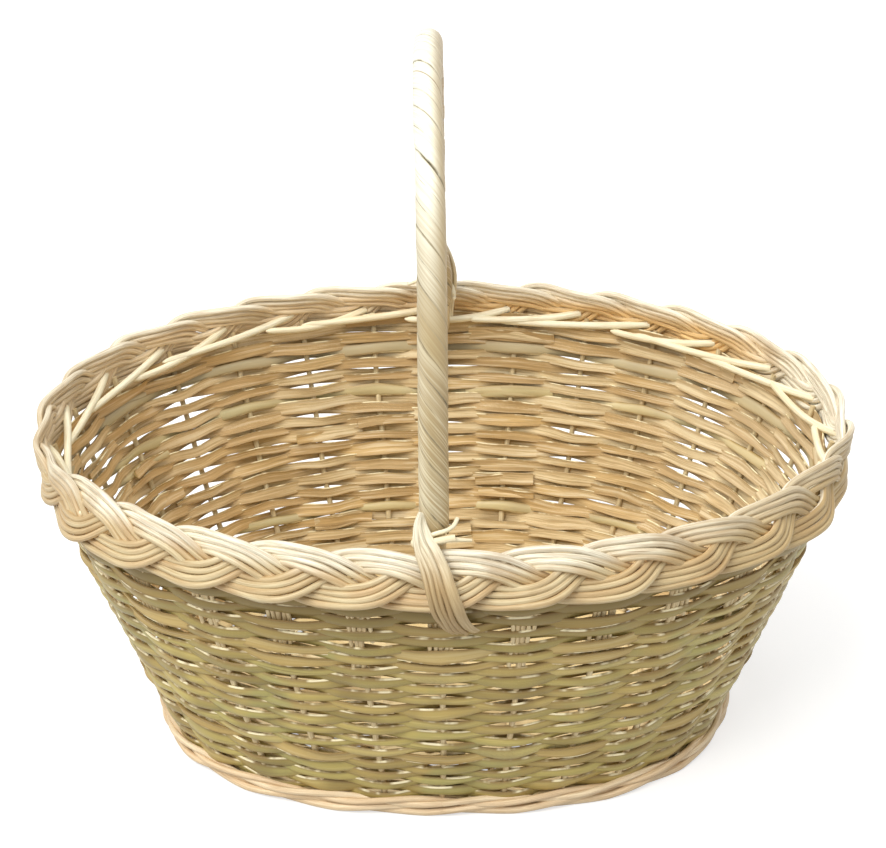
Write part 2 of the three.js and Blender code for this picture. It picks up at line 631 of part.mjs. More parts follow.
function wrapGeometry(order) {
  const rings = [];
  const steps = Math.round(WRAP_TURNS * HANDLE_WRAP_STEPS_PER_TURN);
  const profile = [
    [HANDLE_WRAP_INNER, -1],
    [HANDLE_RADIUS, -HANDLE_WRAP_SHOULDER],
    [HANDLE_OUTER, 0],
    [HANDLE_RADIUS, HANDLE_WRAP_SHOULDER],
    [HANDLE_WRAP_INNER, 1],
  ];
  for (let i = 0; i <= steps; i += 1) {
    const frame = hoopFrame((HOOP_LENGTH * i) / steps);
    const angle = ((i / steps) * WRAP_TURNS + order / HANDLE_WRAP_COUNT) * Math.PI * 2;
    const ring = [];
    for (const [radius, share] of profile) {
      const here = angle + share * WRAP_HALF_ANGLE;
      const point = frame.point.clone();
      point.addScaledVector(frame.side, radius * Math.cos(here));
      point.addScaledVector(frame.out, radius * Math.sin(here));
      ring.push(point);
    }
    rings.push(ring);
  }
  return bodyFromRings(rings, false);
}

for (let order = 0; order < HANDLE_WRAP_COUNT; order += 1) {
  addPiece('handle_wrap_' + (order + 1), wrapGeometry(order), COLOUR_HANDLE, 0.5);
}

// Middle of a leg of the hoop at a given height
const LEG_HALVINGS = 40;
function legPoint(side, z) {
  let low = 0;
  let high = HOOP_LENGTH / 2;
  for (let i = 0; i < LEG_HALVINGS; i += 1) {
    const middle = (low + high) / 2;
    const length = side < 0 ? middle : HOOP_LENGTH - middle;
    if (hoopPoint(length).z < z) {
      low = middle;
    } else {
      high = middle;
    }
  }
  return hoopPoint(side < 0 ? low : HOOP_LENGTH - low);
}

// Lashing: a thin rod wound round each leg just above the border
function lashGeometry(side) {
  const rings = [];
  const steps = Math.round(LASH_TURNS * LASH_STEPS_PER_TURN);
  const radius = HANDLE_OUTER + SEAT_GAP + LASH_RADIUS;
  for (let i = 0; i <= steps; i += 1) {
    const turns = (i / steps) * LASH_TURNS;
    const angle = turns * Math.PI * 2 * side;
    const z = LASH_Z + LASH_PITCH * turns;
    const axis = legPoint(side, z);
    const outward = new THREE.Vector3(Math.cos(angle), Math.sin(angle), 0);
    const centre = axis.addScaledVector(outward, radius);
    const up = new THREE.Vector3(0, 0, 1);
    rings.push(ellipseRing(centre, outward, up, LASH_RADIUS, LASH_RADIUS, LASH_SIDES, 0));
  }
  return bodyFromRings(rings, false);
}

addPiece('handle_lash_front', lashGeometry(-1), COLOUR_HANDLE, 0.5);
addPiece('handle_lash_back', lashGeometry(1), COLOUR_HANDLE, 0.5);

// Bundle of rods that starts beside the leg, crosses over the border and is tucked into the siding
function bundlePath() {
  const points = [];
  const clear = BUNDLE_HALF_THICK + BUNDLE_CLEAR;
  const span = BUNDLE_END_X - BUNDLE_START_X;
  const overLash = SEAT_GAP + 2 * LASH_RADIUS;
  for (const [height, lift] of [[BUNDLE_START_HEIGHT, 0], [BUNDLE_LASH_HEIGHT, overLash]]) {
    const leg = legPoint(-1, BORDER_Z + height);
    const x = BUNDLE_START_X + span * BUNDLE_LEG_DRIFT * points.length;
    points.push(new THREE.Vector3(x, leg.y - HANDLE_OUTER - lift - clear, leg.z));
  }
  for (let i = 0; i <= BUNDLE_ARC_STEPS; i += 1) {
    const share = i / BUNDLE_ARC_STEPS;
    const degrees = BUNDLE_ARC_FIRST_DEG + (BUNDLE_ARC_LAST_DEG - BUNDLE_ARC_FIRST_DEG) * share;
    const angle = THREE.MathUtils.degToRad(degrees);
    const across = -(PLAIT_FACE + clear) * Math.cos(angle);
    const face = (PLAIT_BODY + clear) * Math.sin(angle);
    const out = across * Math.cos(LEAN) + face * Math.sin(LEAN);
    const z = BORDER_Z - across * Math.sin(LEAN) + face * Math.cos(LEAN);
    const along = BUNDLE_ARC_FIRST_SHARE + (BUNDLE_ARC_LAST_SHARE - BUNDLE_ARC_FIRST_SHARE) * share;
    points.push(new THREE.Vector3(BUNDLE_START_X + span * along, -RIM_HALF_SHORT - out, z));
  }
  const tuckZ = BORDER_Z - BUNDLE_TUCK_DROP;
  const tuckY = wallPoint(FRONT_T, tuckZ).y - STAKE_RADIUS - WEAVER_THICK - 2 * SEAT_GAP - BUNDLE_HALF_THICK;
  points.push(new THREE.Vector3(BUNDLE_END_X, tuckY, tuckZ));
  return points;
}

function bundleGeometry(side) {
  const curve = new THREE.CatmullRomCurve3(bundlePath());
  const rings = [];
  for (let i = 0; i <= BUNDLE_STEPS; i += 1) {
    const share = i / BUNDLE_STEPS;
    const centre = curve.getPointAt(share);
    const along = curve.getTangentAt(share);
    const wide = new THREE.Vector3(1, 0, 0);
    wide.addScaledVector(along, -wide.dot(along)).normalize();
    const thick = along.clone().cross(wide).normalize();
    const ring = ellipseRing(centre, wide, thick, BUNDLE_HALF_WIDTH, BUNDLE_HALF_THICK, BUNDLE_SIDES, 0);
    if (side > 0) {
      for (const point of ring) {
        point.x = -point.x;
        point.y = -point.y;
      }
    }
    rings.push(ring);
  }
  return bodyFromRings(rings, false);
}

addPiece('border_bundle_front', bundleGeometry(-1), COLOUR_BORDER, 0.5);
addPiece('border_bundle_back', bundleGeometry(1), COLOUR_BORDER, 0.5);

export default basket;
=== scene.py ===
# %% [markdown]
# # An oval basket of cane and split peel
# The basket stands on a twined foot, has 28 upright stakes, a wall of flat split weavers,
# a border plaited from bundles of four rods and a fixed hoop handle wound with wide skeins.
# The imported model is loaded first. It is the fixed frame: every finer piece below follows
# the same ovals and heights and takes the place of one of its solids.

# %% Load the frame
import math

import bmesh
import bpy
import numpy as np
from mathutils import Matrix, Vector


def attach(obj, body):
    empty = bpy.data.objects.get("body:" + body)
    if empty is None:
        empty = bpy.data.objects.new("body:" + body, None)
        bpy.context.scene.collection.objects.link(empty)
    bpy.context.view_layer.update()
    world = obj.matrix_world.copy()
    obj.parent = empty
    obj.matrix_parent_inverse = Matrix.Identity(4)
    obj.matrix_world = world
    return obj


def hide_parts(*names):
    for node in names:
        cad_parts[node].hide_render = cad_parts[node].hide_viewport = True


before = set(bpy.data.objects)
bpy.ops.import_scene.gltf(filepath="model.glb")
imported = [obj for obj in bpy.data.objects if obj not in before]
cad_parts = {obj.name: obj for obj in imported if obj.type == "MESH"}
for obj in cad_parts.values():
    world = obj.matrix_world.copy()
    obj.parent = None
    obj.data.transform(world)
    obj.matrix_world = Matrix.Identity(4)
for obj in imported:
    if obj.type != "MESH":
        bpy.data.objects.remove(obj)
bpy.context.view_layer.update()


def shown(name, data):
    thing = bpy.data.objects.new(name, data)
    bpy.context.scene.collection.objects.link(thing)
    return thing


# %% [markdown]
# ## Camera
# The photograph was taken from the front, about 28 degrees above level, through a long lens.
# That angle, the distance and the place of the basket's middle in the picture set the camera.

# %% Camera
PICTURE = (886, 848)
SENSOR_MM = 36.0
LENS_MM = 118.85
TARGET = Vector((0.0, 0.0, 0.137))
TARGET_PIXEL = (442.8, 461.3)
DISTANCE = 1.5
FAR_CLIP = 50.0
ELEVATION = math.radians(28.07)
AZIMUTH = math.radians(0.6)
ROLL = math.radians(0.5)

level = math.cos(ELEVATION)
toward = Vector((-math.sin(AZIMUTH) * level, math.cos(AZIMUTH) * level, -math.sin(ELEVATION)))
level_right = Vector((math.cos(AZIMUTH), math.sin(AZIMUTH), 0.0))
level_up = level_right.cross(toward)
cam_right = level_right * math.cos(ROLL) - level_up * math.sin(ROLL)
cam_up = level_right * math.sin(ROLL) + level_up * math.cos(ROLL)
camera_data = bpy.data.cameras.new("camera")
camera_data.sensor_width = SENSOR_MM
camera_data.lens = LENS_MM
camera_data.clip_end = FAR_CLIP
camera_data.shift_x = (PICTURE[0] / 2 - TARGET_PIXEL[0]) / PICTURE[0]
camera_data.shift_y = (TARGET_PIXEL[1] - PICTURE[1] / 2) / PICTURE[0]
camera = shown("camera", camera_data)
axes = Matrix((cam_right, cam_up, -toward)).transposed()
camera.matrix_world = Matrix.Translation(TARGET - toward * DISTANCE) @ axes.to_4x4()
bpy.context.scene.camera = camera
print("camera at", [round(value, 3) for value in camera.matrix_world.translation])

# %% [markdown]
# ## Short calls for nodes
# Light, finishes and the sweep are node trees. A `Nodes` object adds nodes to one tree. An input
# takes a number, a colour of three numbers, or the output of another node.

# %% Helper: the nodes of one tree
class Nodes:
    def __init__(self, tree):
        self.tree = tree

    def give(self, socket, value):
        if hasattr(value, "links"):
            self.tree.links.new(value, socket)
        else:
            socket.default_value = (*value, 1.0) if socket.type == "RGBA" else value

    def add(self, kind, inputs=None, **settings):
        node = self.tree.nodes.new(kind)
        for name, value in settings.items():
            setattr(node, name, value)
        for key, value in (inputs or {}).items():
            self.give(node.inputs[key], value)
        return node

    def maths(self, operation, *values):
        return self.add("ShaderNodeMath", dict(enumerate(values)), operation=operation).outputs[0]

    def times(self, a, b):
        return self.maths("MULTIPLY", a, b)

    def vector(self, operation, a, b):
        return self.add("ShaderNodeVectorMath", {0: a, 1: b}, operation=operation).outputs

    def split(self, vector):
        return self.add("ShaderNodeSeparateXYZ", {0: vector}).outputs

    def join(self, **parts):
        return self.add("ShaderNodeCombineXYZ", parts).outputs[0]


def with_nodes(block):
    block.use_nodes = True
    return block, Nodes(block.node_tree)


print("node calls are ready")

# %% [markdown]
# ## Floor, backdrop and light
# The light is soft, from above and from the left, and the ground is pure white. For rays that
# come straight from the camera the pale floor adds a little light of its own, so that it looks
# white and still keeps the shadow.

# %% Floor, world and lamps
WHITE = (1.0, 1.0, 1.0)
SKY_STRENGTH = 0.63
SIDE_SUN = ("soft sun from the left", 2.3, 45, (-0.55, -0.5, 1.0))
TOP_SUN = ("soft light from above", 0.9, 70, (0.0, -0.1, 1.0))
SUN_COLOUR = (1.0, 0.985, 0.95)
FLOOR_HALF = 6.0
FLOOR_COLOUR = (0.52, 0.52, 0.52)
FLOOR_ROUGHNESS = 0.9
FLOOR_GLOW = 0.6


def straight_rays(nodes):
    path = nodes.add("ShaderNodeLightPath").outputs
    seen = nodes.maths("MAXIMUM", path["Is Camera Ray"], path["Is Glossy Ray"])
    return nodes.maths("MAXIMUM", seen, path["Is Transmission Ray"])


world, sky = with_nodes(bpy.data.worlds.new("white sky"))
sky_range = {"Value": straight_rays(sky), "To Min": SKY_STRENGTH, "To Max": 1.0}
background = sky.tree.nodes["Background"].inputs
sky.give(background["Color"], WHITE)
sky.give(background["Strength"], sky.add("ShaderNodeMapRange", sky_range).outputs["Result"])
bpy.context.scene.world = world

floor_material, ground = with_nodes(bpy.data.materials.new("pale floor"))
floor_inputs = {"Base Color": FLOOR_COLOUR, "Roughness": FLOOR_ROUGHNESS, "Emission Color": WHITE}
floor_inputs["Specular IOR Level"] = 0.0
floor_inputs["Emission Strength"] = ground.times(straight_rays(ground), FLOOR_GLOW)
for key, value in floor_inputs.items():
    ground.give(ground.tree.nodes["Principled BSDF"].inputs[key], value)
floor_mesh = bpy.data.meshes.new("floor")
corners = [(x * FLOOR_HALF, y * FLOOR_HALF, 0) for x, y in ((-1, -1), (1, -1), (1, 1), (-1, 1))]
floor_mesh.from_pydata(corners, [], [(0, 1, 2, 3)])
floor_mesh.materials.append(floor_material)
floor = shown("floor", floor_mesh)

for name, strength, angle, direction in (SIDE_SUN, TOP_SUN):
    lamp = bpy.data.lights.new(name, "SUN")
    lamp.energy, lamp.angle, lamp.color = strength, math.radians(angle), SUN_COLOUR
    sun = shown(name, lamp)
    sun.rotation_euler = Vector(direction).to_track_quat("Z", "Y").to_euler()
bpy.context.scene.view_settings.view_transform = "Standard"
print("floor, sky and two soft suns are in place")

# %% [markdown]
# ## The shape that everything follows
# A basket maker works to a base oval, a rim oval and a height, and the wall flares a little
# faster at the bottom. These functions give any point of that wall, the directions on it, and
# the angle at which each of the 28 stakes stands, in millimetres. `wander` is a slow seeded
# waver, `near` is 1 at one angle and falls off beside it, and `swung` turns one direction
# towards another.

# %% Ovals, wall and stations
MM = 0.001
RIM_HALF = (200.0, 154.0)
BASE_HALF = (141.5, 112.0)
BORDER_Z = 156.0
RIM_DIP = 3.5
FLARE_POWER = 1.14
RIM_SQUARENESS = 2.1
BASE_SQUARENESS = 2.35
RIGHTWARDS, UPWARDS = np.array([1.0, 0.0, 0.0]), np.array([0.0, 0.0, 1.0])
STAKES = 28
FRONT_T = -math.pi / 2
BASE_Z = 6.8
TABLE_POINTS = 2881


def oval(half_long, half_short, squareness, t):
    c, s = np.cos(t), np.sin(t)
    radial = (np.abs(c) ** squareness + np.abs(s) ** squareness) ** (-1 / squareness)
    return half_long * radial * c, half_short * radial * s


def between(low, high, share):
    return low + (high - low) * share


def wall(t, z):
    t, z = np.broadcast_arrays(np.asarray(t, float), np.asarray(z, float))
    h = z / BORDER_Z
    share = 1 - np.maximum(1 - h, 0) ** FLARE_POWER
    halves = [between(BASE_HALF[i], RIM_HALF[i], share) for i in range(2)]
    x, y = oval(*halves, between(BASE_SQUARENESS, RIM_SQUARENESS, share), t)
    return np.stack([x, y, z - RIM_DIP * h * np.cos(t) ** 2], axis=-1)


def base_point(t, inset):
    edge = wall(t, BASE_Z)
    x, y = oval(BASE_HALF[0] - inset, BASE_HALF[1] - inset, BASE_SQUARENESS, t)
    x0, y0 = oval(*BASE_HALF, BASE_SQUARENESS, t)
    level = np.full_like(x, BASE_Z)
    return np.stack([x + edge[..., 0] - x0, y + edge[..., 1] - y0, level], axis=-1)


def unit(v):
    return v / np.maximum(np.linalg.norm(v, axis=-1, keepdims=True), 1e-9)


def square_to(along, v):
    return unit(v - along * np.sum(v * along, axis=-1, keepdims=True))


def moved(points, *moves):
    for direction, amount in moves:
        points = points + direction * np.asarray(amount)[..., None]
    return points


def swung(a, b, angle):
    return moved(0 * a, (a, np.cos(angle)), (b, np.sin(angle)))


def run_along(points):
    steps = np.linalg.norm(np.diff(points, axis=0), axis=1)
    return np.concatenate([[0], np.cumsum(steps)])


def wall_frame(t, z):
    around = unit(wall(t + 0.01, z) - wall(t - 0.01, z))
    up = unit(wall(t, z + 0.5) - wall(t, z - 0.5))
    return around, up, unit(np.cross(around, up))


def level_out(t, z):
    return unit(wall_frame(t, z)[2] * (1, 1, 0))


table_t = FRONT_T + np.linspace(0, math.tau, TABLE_POINTS)
table_length = run_along(wall(table_t, BORDER_Z))
RIM_LENGTH = table_length[-1]


def rim_angle(turns):
    whole = np.floor(turns)
    return np.interp((turns - whole) * RIM_LENGTH, table_length, table_t) + whole * math.tau


def stake_angle(index):
    return float(rim_angle(np.array(index / STAKES)))


def near(t, place, width):
    return np.exp(-((t % math.tau - place) / width) ** 2)


def wander(u, seed, *waves):
    dice = np.random.default_rng(seed)
    total = np.zeros_like(np.asarray(u, float))
    for wave in waves:
        phase, stretch = dice.uniform(0, math.tau), dice.uniform(0.85, 1.15)
        total = total + np.sin(u * math.tau * wave * stretch + phase)
    return total / math.sqrt(len(waves))


print("rim length, mm:", round(float(RIM_LENGTH), 1))

# %% [markdown]
# ## One tree that makes every rod and strip
# Cane work is all one thing: a long body of small section that follows a path. The points of a
# path carry which way the strip is wide and which way it is thick, and one Geometry Nodes tree
# sweeps a rounded section along all the paths of a piece. It keeps three values for the
# materials: the place round the section, the distance along the cane and the cane's number.

# %% Geometry Nodes tree: cane along a path
CANE_SOCKETS = {"Path": "Geometry", "Sides": "Int", "Squareness": "Float", "Material": "Material"}


def make_cane_tree():
    tree = bpy.data.node_groups.new("cane along a path", "GeometryNodeTree")
    for name, kind in CANE_SOCKETS.items():
        tree.interface.new_socket(name, in_out="INPUT", socket_type="NodeSocket" + kind)
    tree.interface.new_socket("Cane", in_out="OUTPUT", socket_type="NodeSocketGeometry")
    n = Nodes(tree)
    given = n.add("NodeGroupInput").outputs

    def named(name):
        node = n.add("GeometryNodeInputNamedAttribute", {"Name": name}, data_type="FLOAT_VECTOR")
        return node.outputs["Attribute"]

    def stored(geometry, name, kind, value):
        inputs = {"Geometry": geometry, "Name": name, "Value": value}
        node = n.add("GeometryNodeStoreNamedAttribute", inputs, data_type=kind, domain="POINT")
        return node.outputs["Geometry"]

    def scaled(name, factor):
        inputs = {0: named(name), "Scale": factor}
        return n.add("ShaderNodeVectorMath", inputs, operation="SCALE").outputs[0]

    place = n.add("GeometryNodeInputPosition").outputs["Position"]
    curve = n.add("GeometryNodeMeshToCurve", {"Mesh": given["Path"]}).outputs["Curve"]
    run = n.add("GeometryNodeSplineParameter").outputs["Length"]
    curve = stored(stored(curve, "run", "FLOAT", run), "spine", "FLOAT_VECTOR", place)

    circle = {"Resolution": given["Sides"], "Radius": 1.0}
    circle = n.add("GeometryNodeCurvePrimitiveCircle", circle).outputs["Curve"]
    power = n.maths("DIVIDE", 2.0, given["Squareness"])
    parts = n.split(place)
    rounded = {}
    for axis in ("X", "Y"):
        size = n.maths("POWER", n.maths("ABSOLUTE", parts[axis]), power)
        rounded[axis] = n.times(n.maths("SIGN", parts[axis]), size)
    section = stored(circle, "ring", "FLOAT_VECTOR", n.join(**rounded))

    sweep = {"Curve": curve, "Profile Curve": section, "Fill Caps": True}
    swept = n.add("GeometryNodeCurveToMesh", sweep).outputs["Mesh"]
    ring = n.split(named("ring"))
    where = n.vector("ADD", named("spine"), scaled("wide", ring["X"]))[0]
    where = n.vector("ADD", where, scaled("thick", ring["Y"]))[0]
    where = n.vector("SUBTRACT", where, scaled("bow", n.times(ring["X"], ring["X"])))[0]
    for kind, inputs in (
        ("GeometryNodeSetPosition", {"Position": where}),
        ("GeometryNodeRealizeInstances", {}),
        ("GeometryNodeSetMaterial", {"Material": given["Material"]}),
    ):
        swept = n.add(kind, {"Geometry": swept, **inputs}).outputs["Geometry"]
    n.add("NodeGroupOutput", {"Cane": swept})
    return tree


cane_tree = make_cane_tree()
CANE_INPUTS = {
    item.name: item.identifier for item in cane_tree.interface.items_tree if item.in_out == "INPUT"
}
print("sweep tree:", len(cane_tree.nodes), "nodes")

# %% [markdown]
# ## From paths to a finished piece
# The paths of one piece become a wire mesh with those values on its points, the tree sweeps
# them, and the plain mesh is kept. A closed mesh whose volume comes out negative is inside
# out, so it is turned.

# %% Helpers: path and piece
CUT_ANGLE = 0.9
CARRIED = ("wide", "thick", "bow")


def make_path(points, facing, half_wide, half_thick=None, bow=0.0, number=0.0, closed=False):
    points = np.asarray(points, float)
    if closed:
        along = unit(np.roll(points, -1, axis=0) - np.roll(points, 1, axis=0))
    else:
        along = unit(np.gradient(points, axis=0))
    facing = square_to(along, np.broadcast_to(np.asarray(facing, float), points.shape))
    path = {"points": points, "number": number, "closed": closed}
    half_thick = half_wide if half_thick is None else half_thick
    directions = (np.cross(facing, along), facing, facing)
    for key, direction, size in zip(CARRIED, directions, (half_wide, half_thick, bow)):
        path[key] = direction * np.broadcast_to(size, len(points))[:, None]
    return path


def signed_volume(mesh):
    shape = bmesh.new()
    shape.from_mesh(mesh)
    volume = shape.calc_volume(signed=True)
    shape.free()
    return volume


def path_wire(name, paths):
    edges = []
    start = 0
    for path in paths:
        count = len(path["points"])
        edges.extend((start + i, start + i + 1) for i in range(count - 1))
        if path["closed"]:
            edges.append((start + count - 1, start))
        start += count
    wire = bpy.data.meshes.new(name)
    wire.from_pydata((np.concatenate([path["points"] for path in paths]) * MM).tolist(), edges, [])
    for key in CARRIED:
        values = (np.concatenate([path[key] for path in paths]) * MM).astype(np.float32)
        carried = wire.attributes.new(key, "FLOAT_VECTOR", "POINT")
        carried.data.foreach_set("vector", values.ravel())
    numbers = np.concatenate([np.full(len(path["points"]), path["number"]) for path in paths])
    carried = wire.attributes.new("number", "FLOAT", "POINT")
    carried.data.foreach_set("value", numbers.astype(np.float32))
    return wire


def make_piece(name, paths, material, sides=10, squareness=2.0):
    carrier = shown(name + " path", path_wire(name + " path", paths))
    sweep = carrier.modifiers.new("cane", "NODES")
    sweep.node_group = cane_tree
    for key, value in (("Sides", sides), ("Squareness", squareness), ("Material", material)):
        sweep[CANE_INPUTS[key]] = value
    graph = bpy.context.evaluated_depsgraph_get()
    mesh = bpy.data.meshes.new_from_object(carrier.evaluated_get(graph))
    carrier.modifiers.remove(sweep)
    bpy.data.objects.remove(carrier)
    mesh.name = name
    mesh.shade_smooth()
    mesh.set_sharp_from_angle(angle=CUT_ANGLE)
    volume = signed_volume(mesh)
    if volume < 0:
        mesh.flip_normals()
    print(f"{name}: {len(paths)} paths, {len(mesh.polygons)} faces, {abs(volume) * 1e9:.0f} mm3")
    return shown(name, mesh)


def fit(piece, slot, *nodes):
    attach(piece, "root")
    if nodes:
        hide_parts(*nodes)


def dress(node, ending, paths, material, slot, **section):
    fit(make_piece(f"{node}_{ending}", paths, material, **section), slot, node)


print("a swept cane takes:", ", ".join(CANE_INPUTS))

# %% [markdown]
# ## Finishes
# Peeled rod is cream to tan, with fine fibres along its length and browner creases. Split peel
# has an olive skin outside, a tan pith face inside and pale cut edges. Both share two effects,
# so each of these is a node group: fibres that run along the cane, and slow changes of tone.
# The noise of every cane is shifted by the cane's number, so that no two are alike.

# %% Node groups: fibres and tones
FIBRE_SHIFT = 7.31
TONE_SHIFT = 3.77
OUTWARD_SCALE = (5.0, 6.5, 0.0)
UPWARD_SHARE = 0.45


class Finish(Nodes):
    def attribute(self, name, output="Fac"):
        node = self.add("ShaderNodeAttribute", attribute_name=name, attribute_type="GEOMETRY")
        return node.outputs[output]

    def body(self):
        return self.add("ShaderNodeTexCoord").outputs["Object"]

    def noise(self, place, scale, detail=2.0, roughness=0.5):
        inputs = {"Vector": place, "Scale": scale, "Detail": detail, "Roughness": roughness}
        return self.add("ShaderNodeTexNoise", inputs).outputs["Fac"]

    def spread(self, value, low, high, to_high=1.0, to_low=0.0, kind="SMOOTHSTEP"):
        inputs = {0: value, "From Min": low, "From Max": high, "To Min": to_low, "To Max": to_high}
        return self.add("ShaderNodeMapRange", inputs, interpolation_type=kind).outputs["Result"]

    def layered(self, colour, *layers):
        for tint, share in layers:
            inputs = {0: share, 6: colour, 7: tint}
            colour = self.add("ShaderNodeMix", inputs, data_type="RGBA").outputs[2]
        return colour

    def group(self, tree, **values):
        return self.add("ShaderNodeGroup", values, node_tree=tree).outputs

    def facing(self):
        normal = self.add("ShaderNodeNewGeometry").outputs["Normal"]
        outward = self.vector("MULTIPLY", self.body(), OUTWARD_SCALE)[0]
        along = self.vector("DOT_PRODUCT", normal, outward)["Value"]
        return self.maths("MULTIPLY_ADD", self.split(normal)["Z"], UPWARD_SHARE, along)


def shader_group(name, numbers, outputs):
    tree = bpy.data.node_groups.new(name, "ShaderNodeTree")
    for key, value in numbers.items():
        socket = tree.interface.new_socket(key, in_out="INPUT", socket_type="NodeSocketFloat")
        socket.default_value = value
    for key in outputs:
        tree.interface.new_socket(key, in_out="OUTPUT", socket_type="NodeSocketFloat")
    nodes = Finish(tree)
    return tree, nodes, nodes.add("NodeGroupInput").outputs


settings = {"Fineness": 4.0, "Length": 30.0}
fibres, n, given = shader_group("fibres along the cane", settings, ("Streak", "Crease"))
ring = n.split(n.attribute("ring", "Vector"))
own_shift = n.times(n.attribute("number"), FIBRE_SHIFT)
across = n.maths("MULTIPLY_ADD", ring["X"], given["Fineness"], own_shift)
down = n.times(n.attribute("run"), given["Length"])
place = n.join(X=across, Y=n.times(ring["Y"], given["Fineness"]), Z=down)
crease = n.spread(n.noise(place, 0.55, 3.0, 0.6), 0.36, 0.24)
n.add("NodeGroupOutput", {"Streak": n.noise(place, 1.0, 4.0, 0.65), "Crease": crease})

names = ("Slow", "Patch", "Own", "Other")
tones, n, given = shader_group("tones of the cane", {"Patch": 14.0}, names)
number = n.attribute("number")
slow_run = n.times(n.attribute("run"), given["Patch"])
slow = n.noise(n.join(X=n.times(number, TONE_SHIFT), Z=slow_run), 1.0, 1.0)
dice = n.add("ShaderNodeTexWhiteNoise", {"W": number}, noise_dimensions="1D").outputs
other = n.add("ShaderNodeSeparateColor", {0: dice["Color"]}).outputs["Green"]
values = (slow, n.noise(n.body(), 28.0, 3.0), dice["Value"], other)
n.add("NodeGroupOutput", dict(zip(names, values)))
print("node groups:", fibres.name, "and", tones.name)

# %% [markdown]
# ## Peeled rod
# The colour goes from tan to cream with the rod's own tone and slow patches along it, the
# fibres make it streaky, and creases are brown. Roughness and a shallow relief follow the
# streaks. Border rods are painted paler along the top, at the back left and at the right-hand
# end as painted highlight, and flushed tan here and there. They are painted browner at the
# front right and greyer at the left end as painted shade, and orange where they face the
# inside, an orange made brighter as painted light. Places are in metres on the piece.

# %% Material: peeled rod
WARM_AND_LIT = (1.0, 0.65, 0.27)
FLUSHED = (0.57, 0.38, 0.19)
PAINTED_HIGHLIGHT = (0.95, 0.92, 0.77)
PAINTED_SHADE_GREY = (0.52, 0.44, 0.30)
PAINTED_SHADE_BROWN = (0.48, 0.35, 0.16)
SUNLIT = (0.92, 0.88, 0.69)
CREAM = (0.95, 0.88, 0.66)
BUNDLE_PALE_Z = (0.157, 0.182)
BACK_ROD_NUMBERS = (870.0, 871.0)
GLOSS = 0.4
RELIEF_DEPTH = 0.0006


class CaneFinish(Finish):
    def __init__(self, name, viewport, fineness, length, patch):
        self.material = bpy.data.materials.new(name)
        self.material.use_nodes = True
        self.material.diffuse_color = (*viewport, 1.0)
        super().__init__(self.material.node_tree)
        fibre = self.group(fibres, Fineness=fineness, Length=length)
        self.streak, self.crease = fibre["Streak"], fibre["Crease"]
        self.tone = self.group(tones, Patch=patch)
        self.ring = self.split(self.attribute("ring", "Vector"))
        self.place = self.split(self.body())

    def finished(self, colour, roughness, strength=0.35):
        inputs = {"Height": self.streak, "Strength": strength, "Distance": RELIEF_DEPTH}
        bump = self.add("ShaderNodeBump", inputs).outputs["Normal"]
        shader = self.tree.nodes["Principled BSDF"].inputs
        self.give(shader["Base Color"], colour)
        self.give(shader["Roughness"], roughness)
        self.give(shader["Specular IOR Level"], GLOSS)
        self.give(shader["Normal"], bump)
        return self.material


def border_tints(n, colour):
    x, y, z = (n.place[axis] for axis in "XYZ")
    facing = n.facing()
    own = n.spread(n.tone["Other"], 0.0, 1.0, 1.0, 0.5, "LINEAR")
    # orange on the faces turned to the inside, made brighter as painted light
    warm_and_lit = n.times(n.spread(facing, 0.45, -0.35, 0.9), own)
    flush = n.spread(n.group(tones, Patch=24.0)["Slow"], 0.5, 0.66, 0.6)
    # painted highlight: the rods are painted paler along the top, at the right-hand end and at the
    # back left
    lit_top = n.spread(z, 0.156, 0.165, 0.8)
    outward, inward = n.spread(facing, 0.15, 0.6), n.spread(facing, 0.6, 0.15)
    at_back = n.spread(y, -0.05, 0.0)
    lit_right = n.spread(x, 0.15, 0.19, 0.95)
    lit_right = n.times(lit_right, n.maths("MAXIMUM", inward, at_back))
    lit_back_left = n.times(n.spread(x, 0.02, -0.05, 0.4), at_back)
    painted_light = n.maths("MAXIMUM", lit_top, n.maths("MAXIMUM", lit_right, lit_back_left))
    # painted shade: the outer faces at the front right, turned away from the light, are painted
    # browner
    shaded_front_right = n.times(n.spread(x, 0.04, 0.17), n.spread(y, 0.0, -0.05, 0.6))
    painted_shade = n.times(shaded_front_right, outward)
    # painted shade: the left end of the border is painted greyer
    shaded_left = n.spread(x, -0.16, -0.2, 0.35)
    shares = (flush, warm_and_lit, painted_light, painted_shade, shaded_left)
    return n.layered(colour, *zip((FLUSHED, WARM_AND_LIT, PAINTED_HIGHLIGHT, PAINTED_SHADE_BROWN, PAINTED_SHADE_GREY), shares))


def bundle_tints(n, colour):
    lit_top = n.spread(n.place["Z"], *BUNDLE_PALE_Z)
    back_rods = n.spread(n.attribute("number"), *BACK_ROD_NUMBERS)
    return n.layered(colour, (SUNLIT, lit_top), (CREAM, back_rods))


def rod_material(name, dark, middle, pale, crease_tone, crease_share=0.7, tints=None):
    n = CaneFinish(name, middle, 2.2, 45.0, 9.0)
    level = n.maths("MULTIPLY_ADD", n.tone["Own"], 0.55, n.times(n.tone["Slow"], 0.6))
    colour = n.layered(middle, (pale, n.spread(level, 0.15, 0.85)))
    if tints:
        colour = tints(n, colour)
    colour = n.layered(
        colour,
        (dark, n.spread(n.streak, 0.62, 0.38, 0.5)),
        (dark, n.spread(n.tone["Patch"], 0.58, 0.72, 0.35)),
        (crease_tone, n.times(n.crease, crease_share)),
    )
    return n.finished(colour, n.spread(n.streak, 0.3, 0.7, 0.42, 0.58, "LINEAR"))


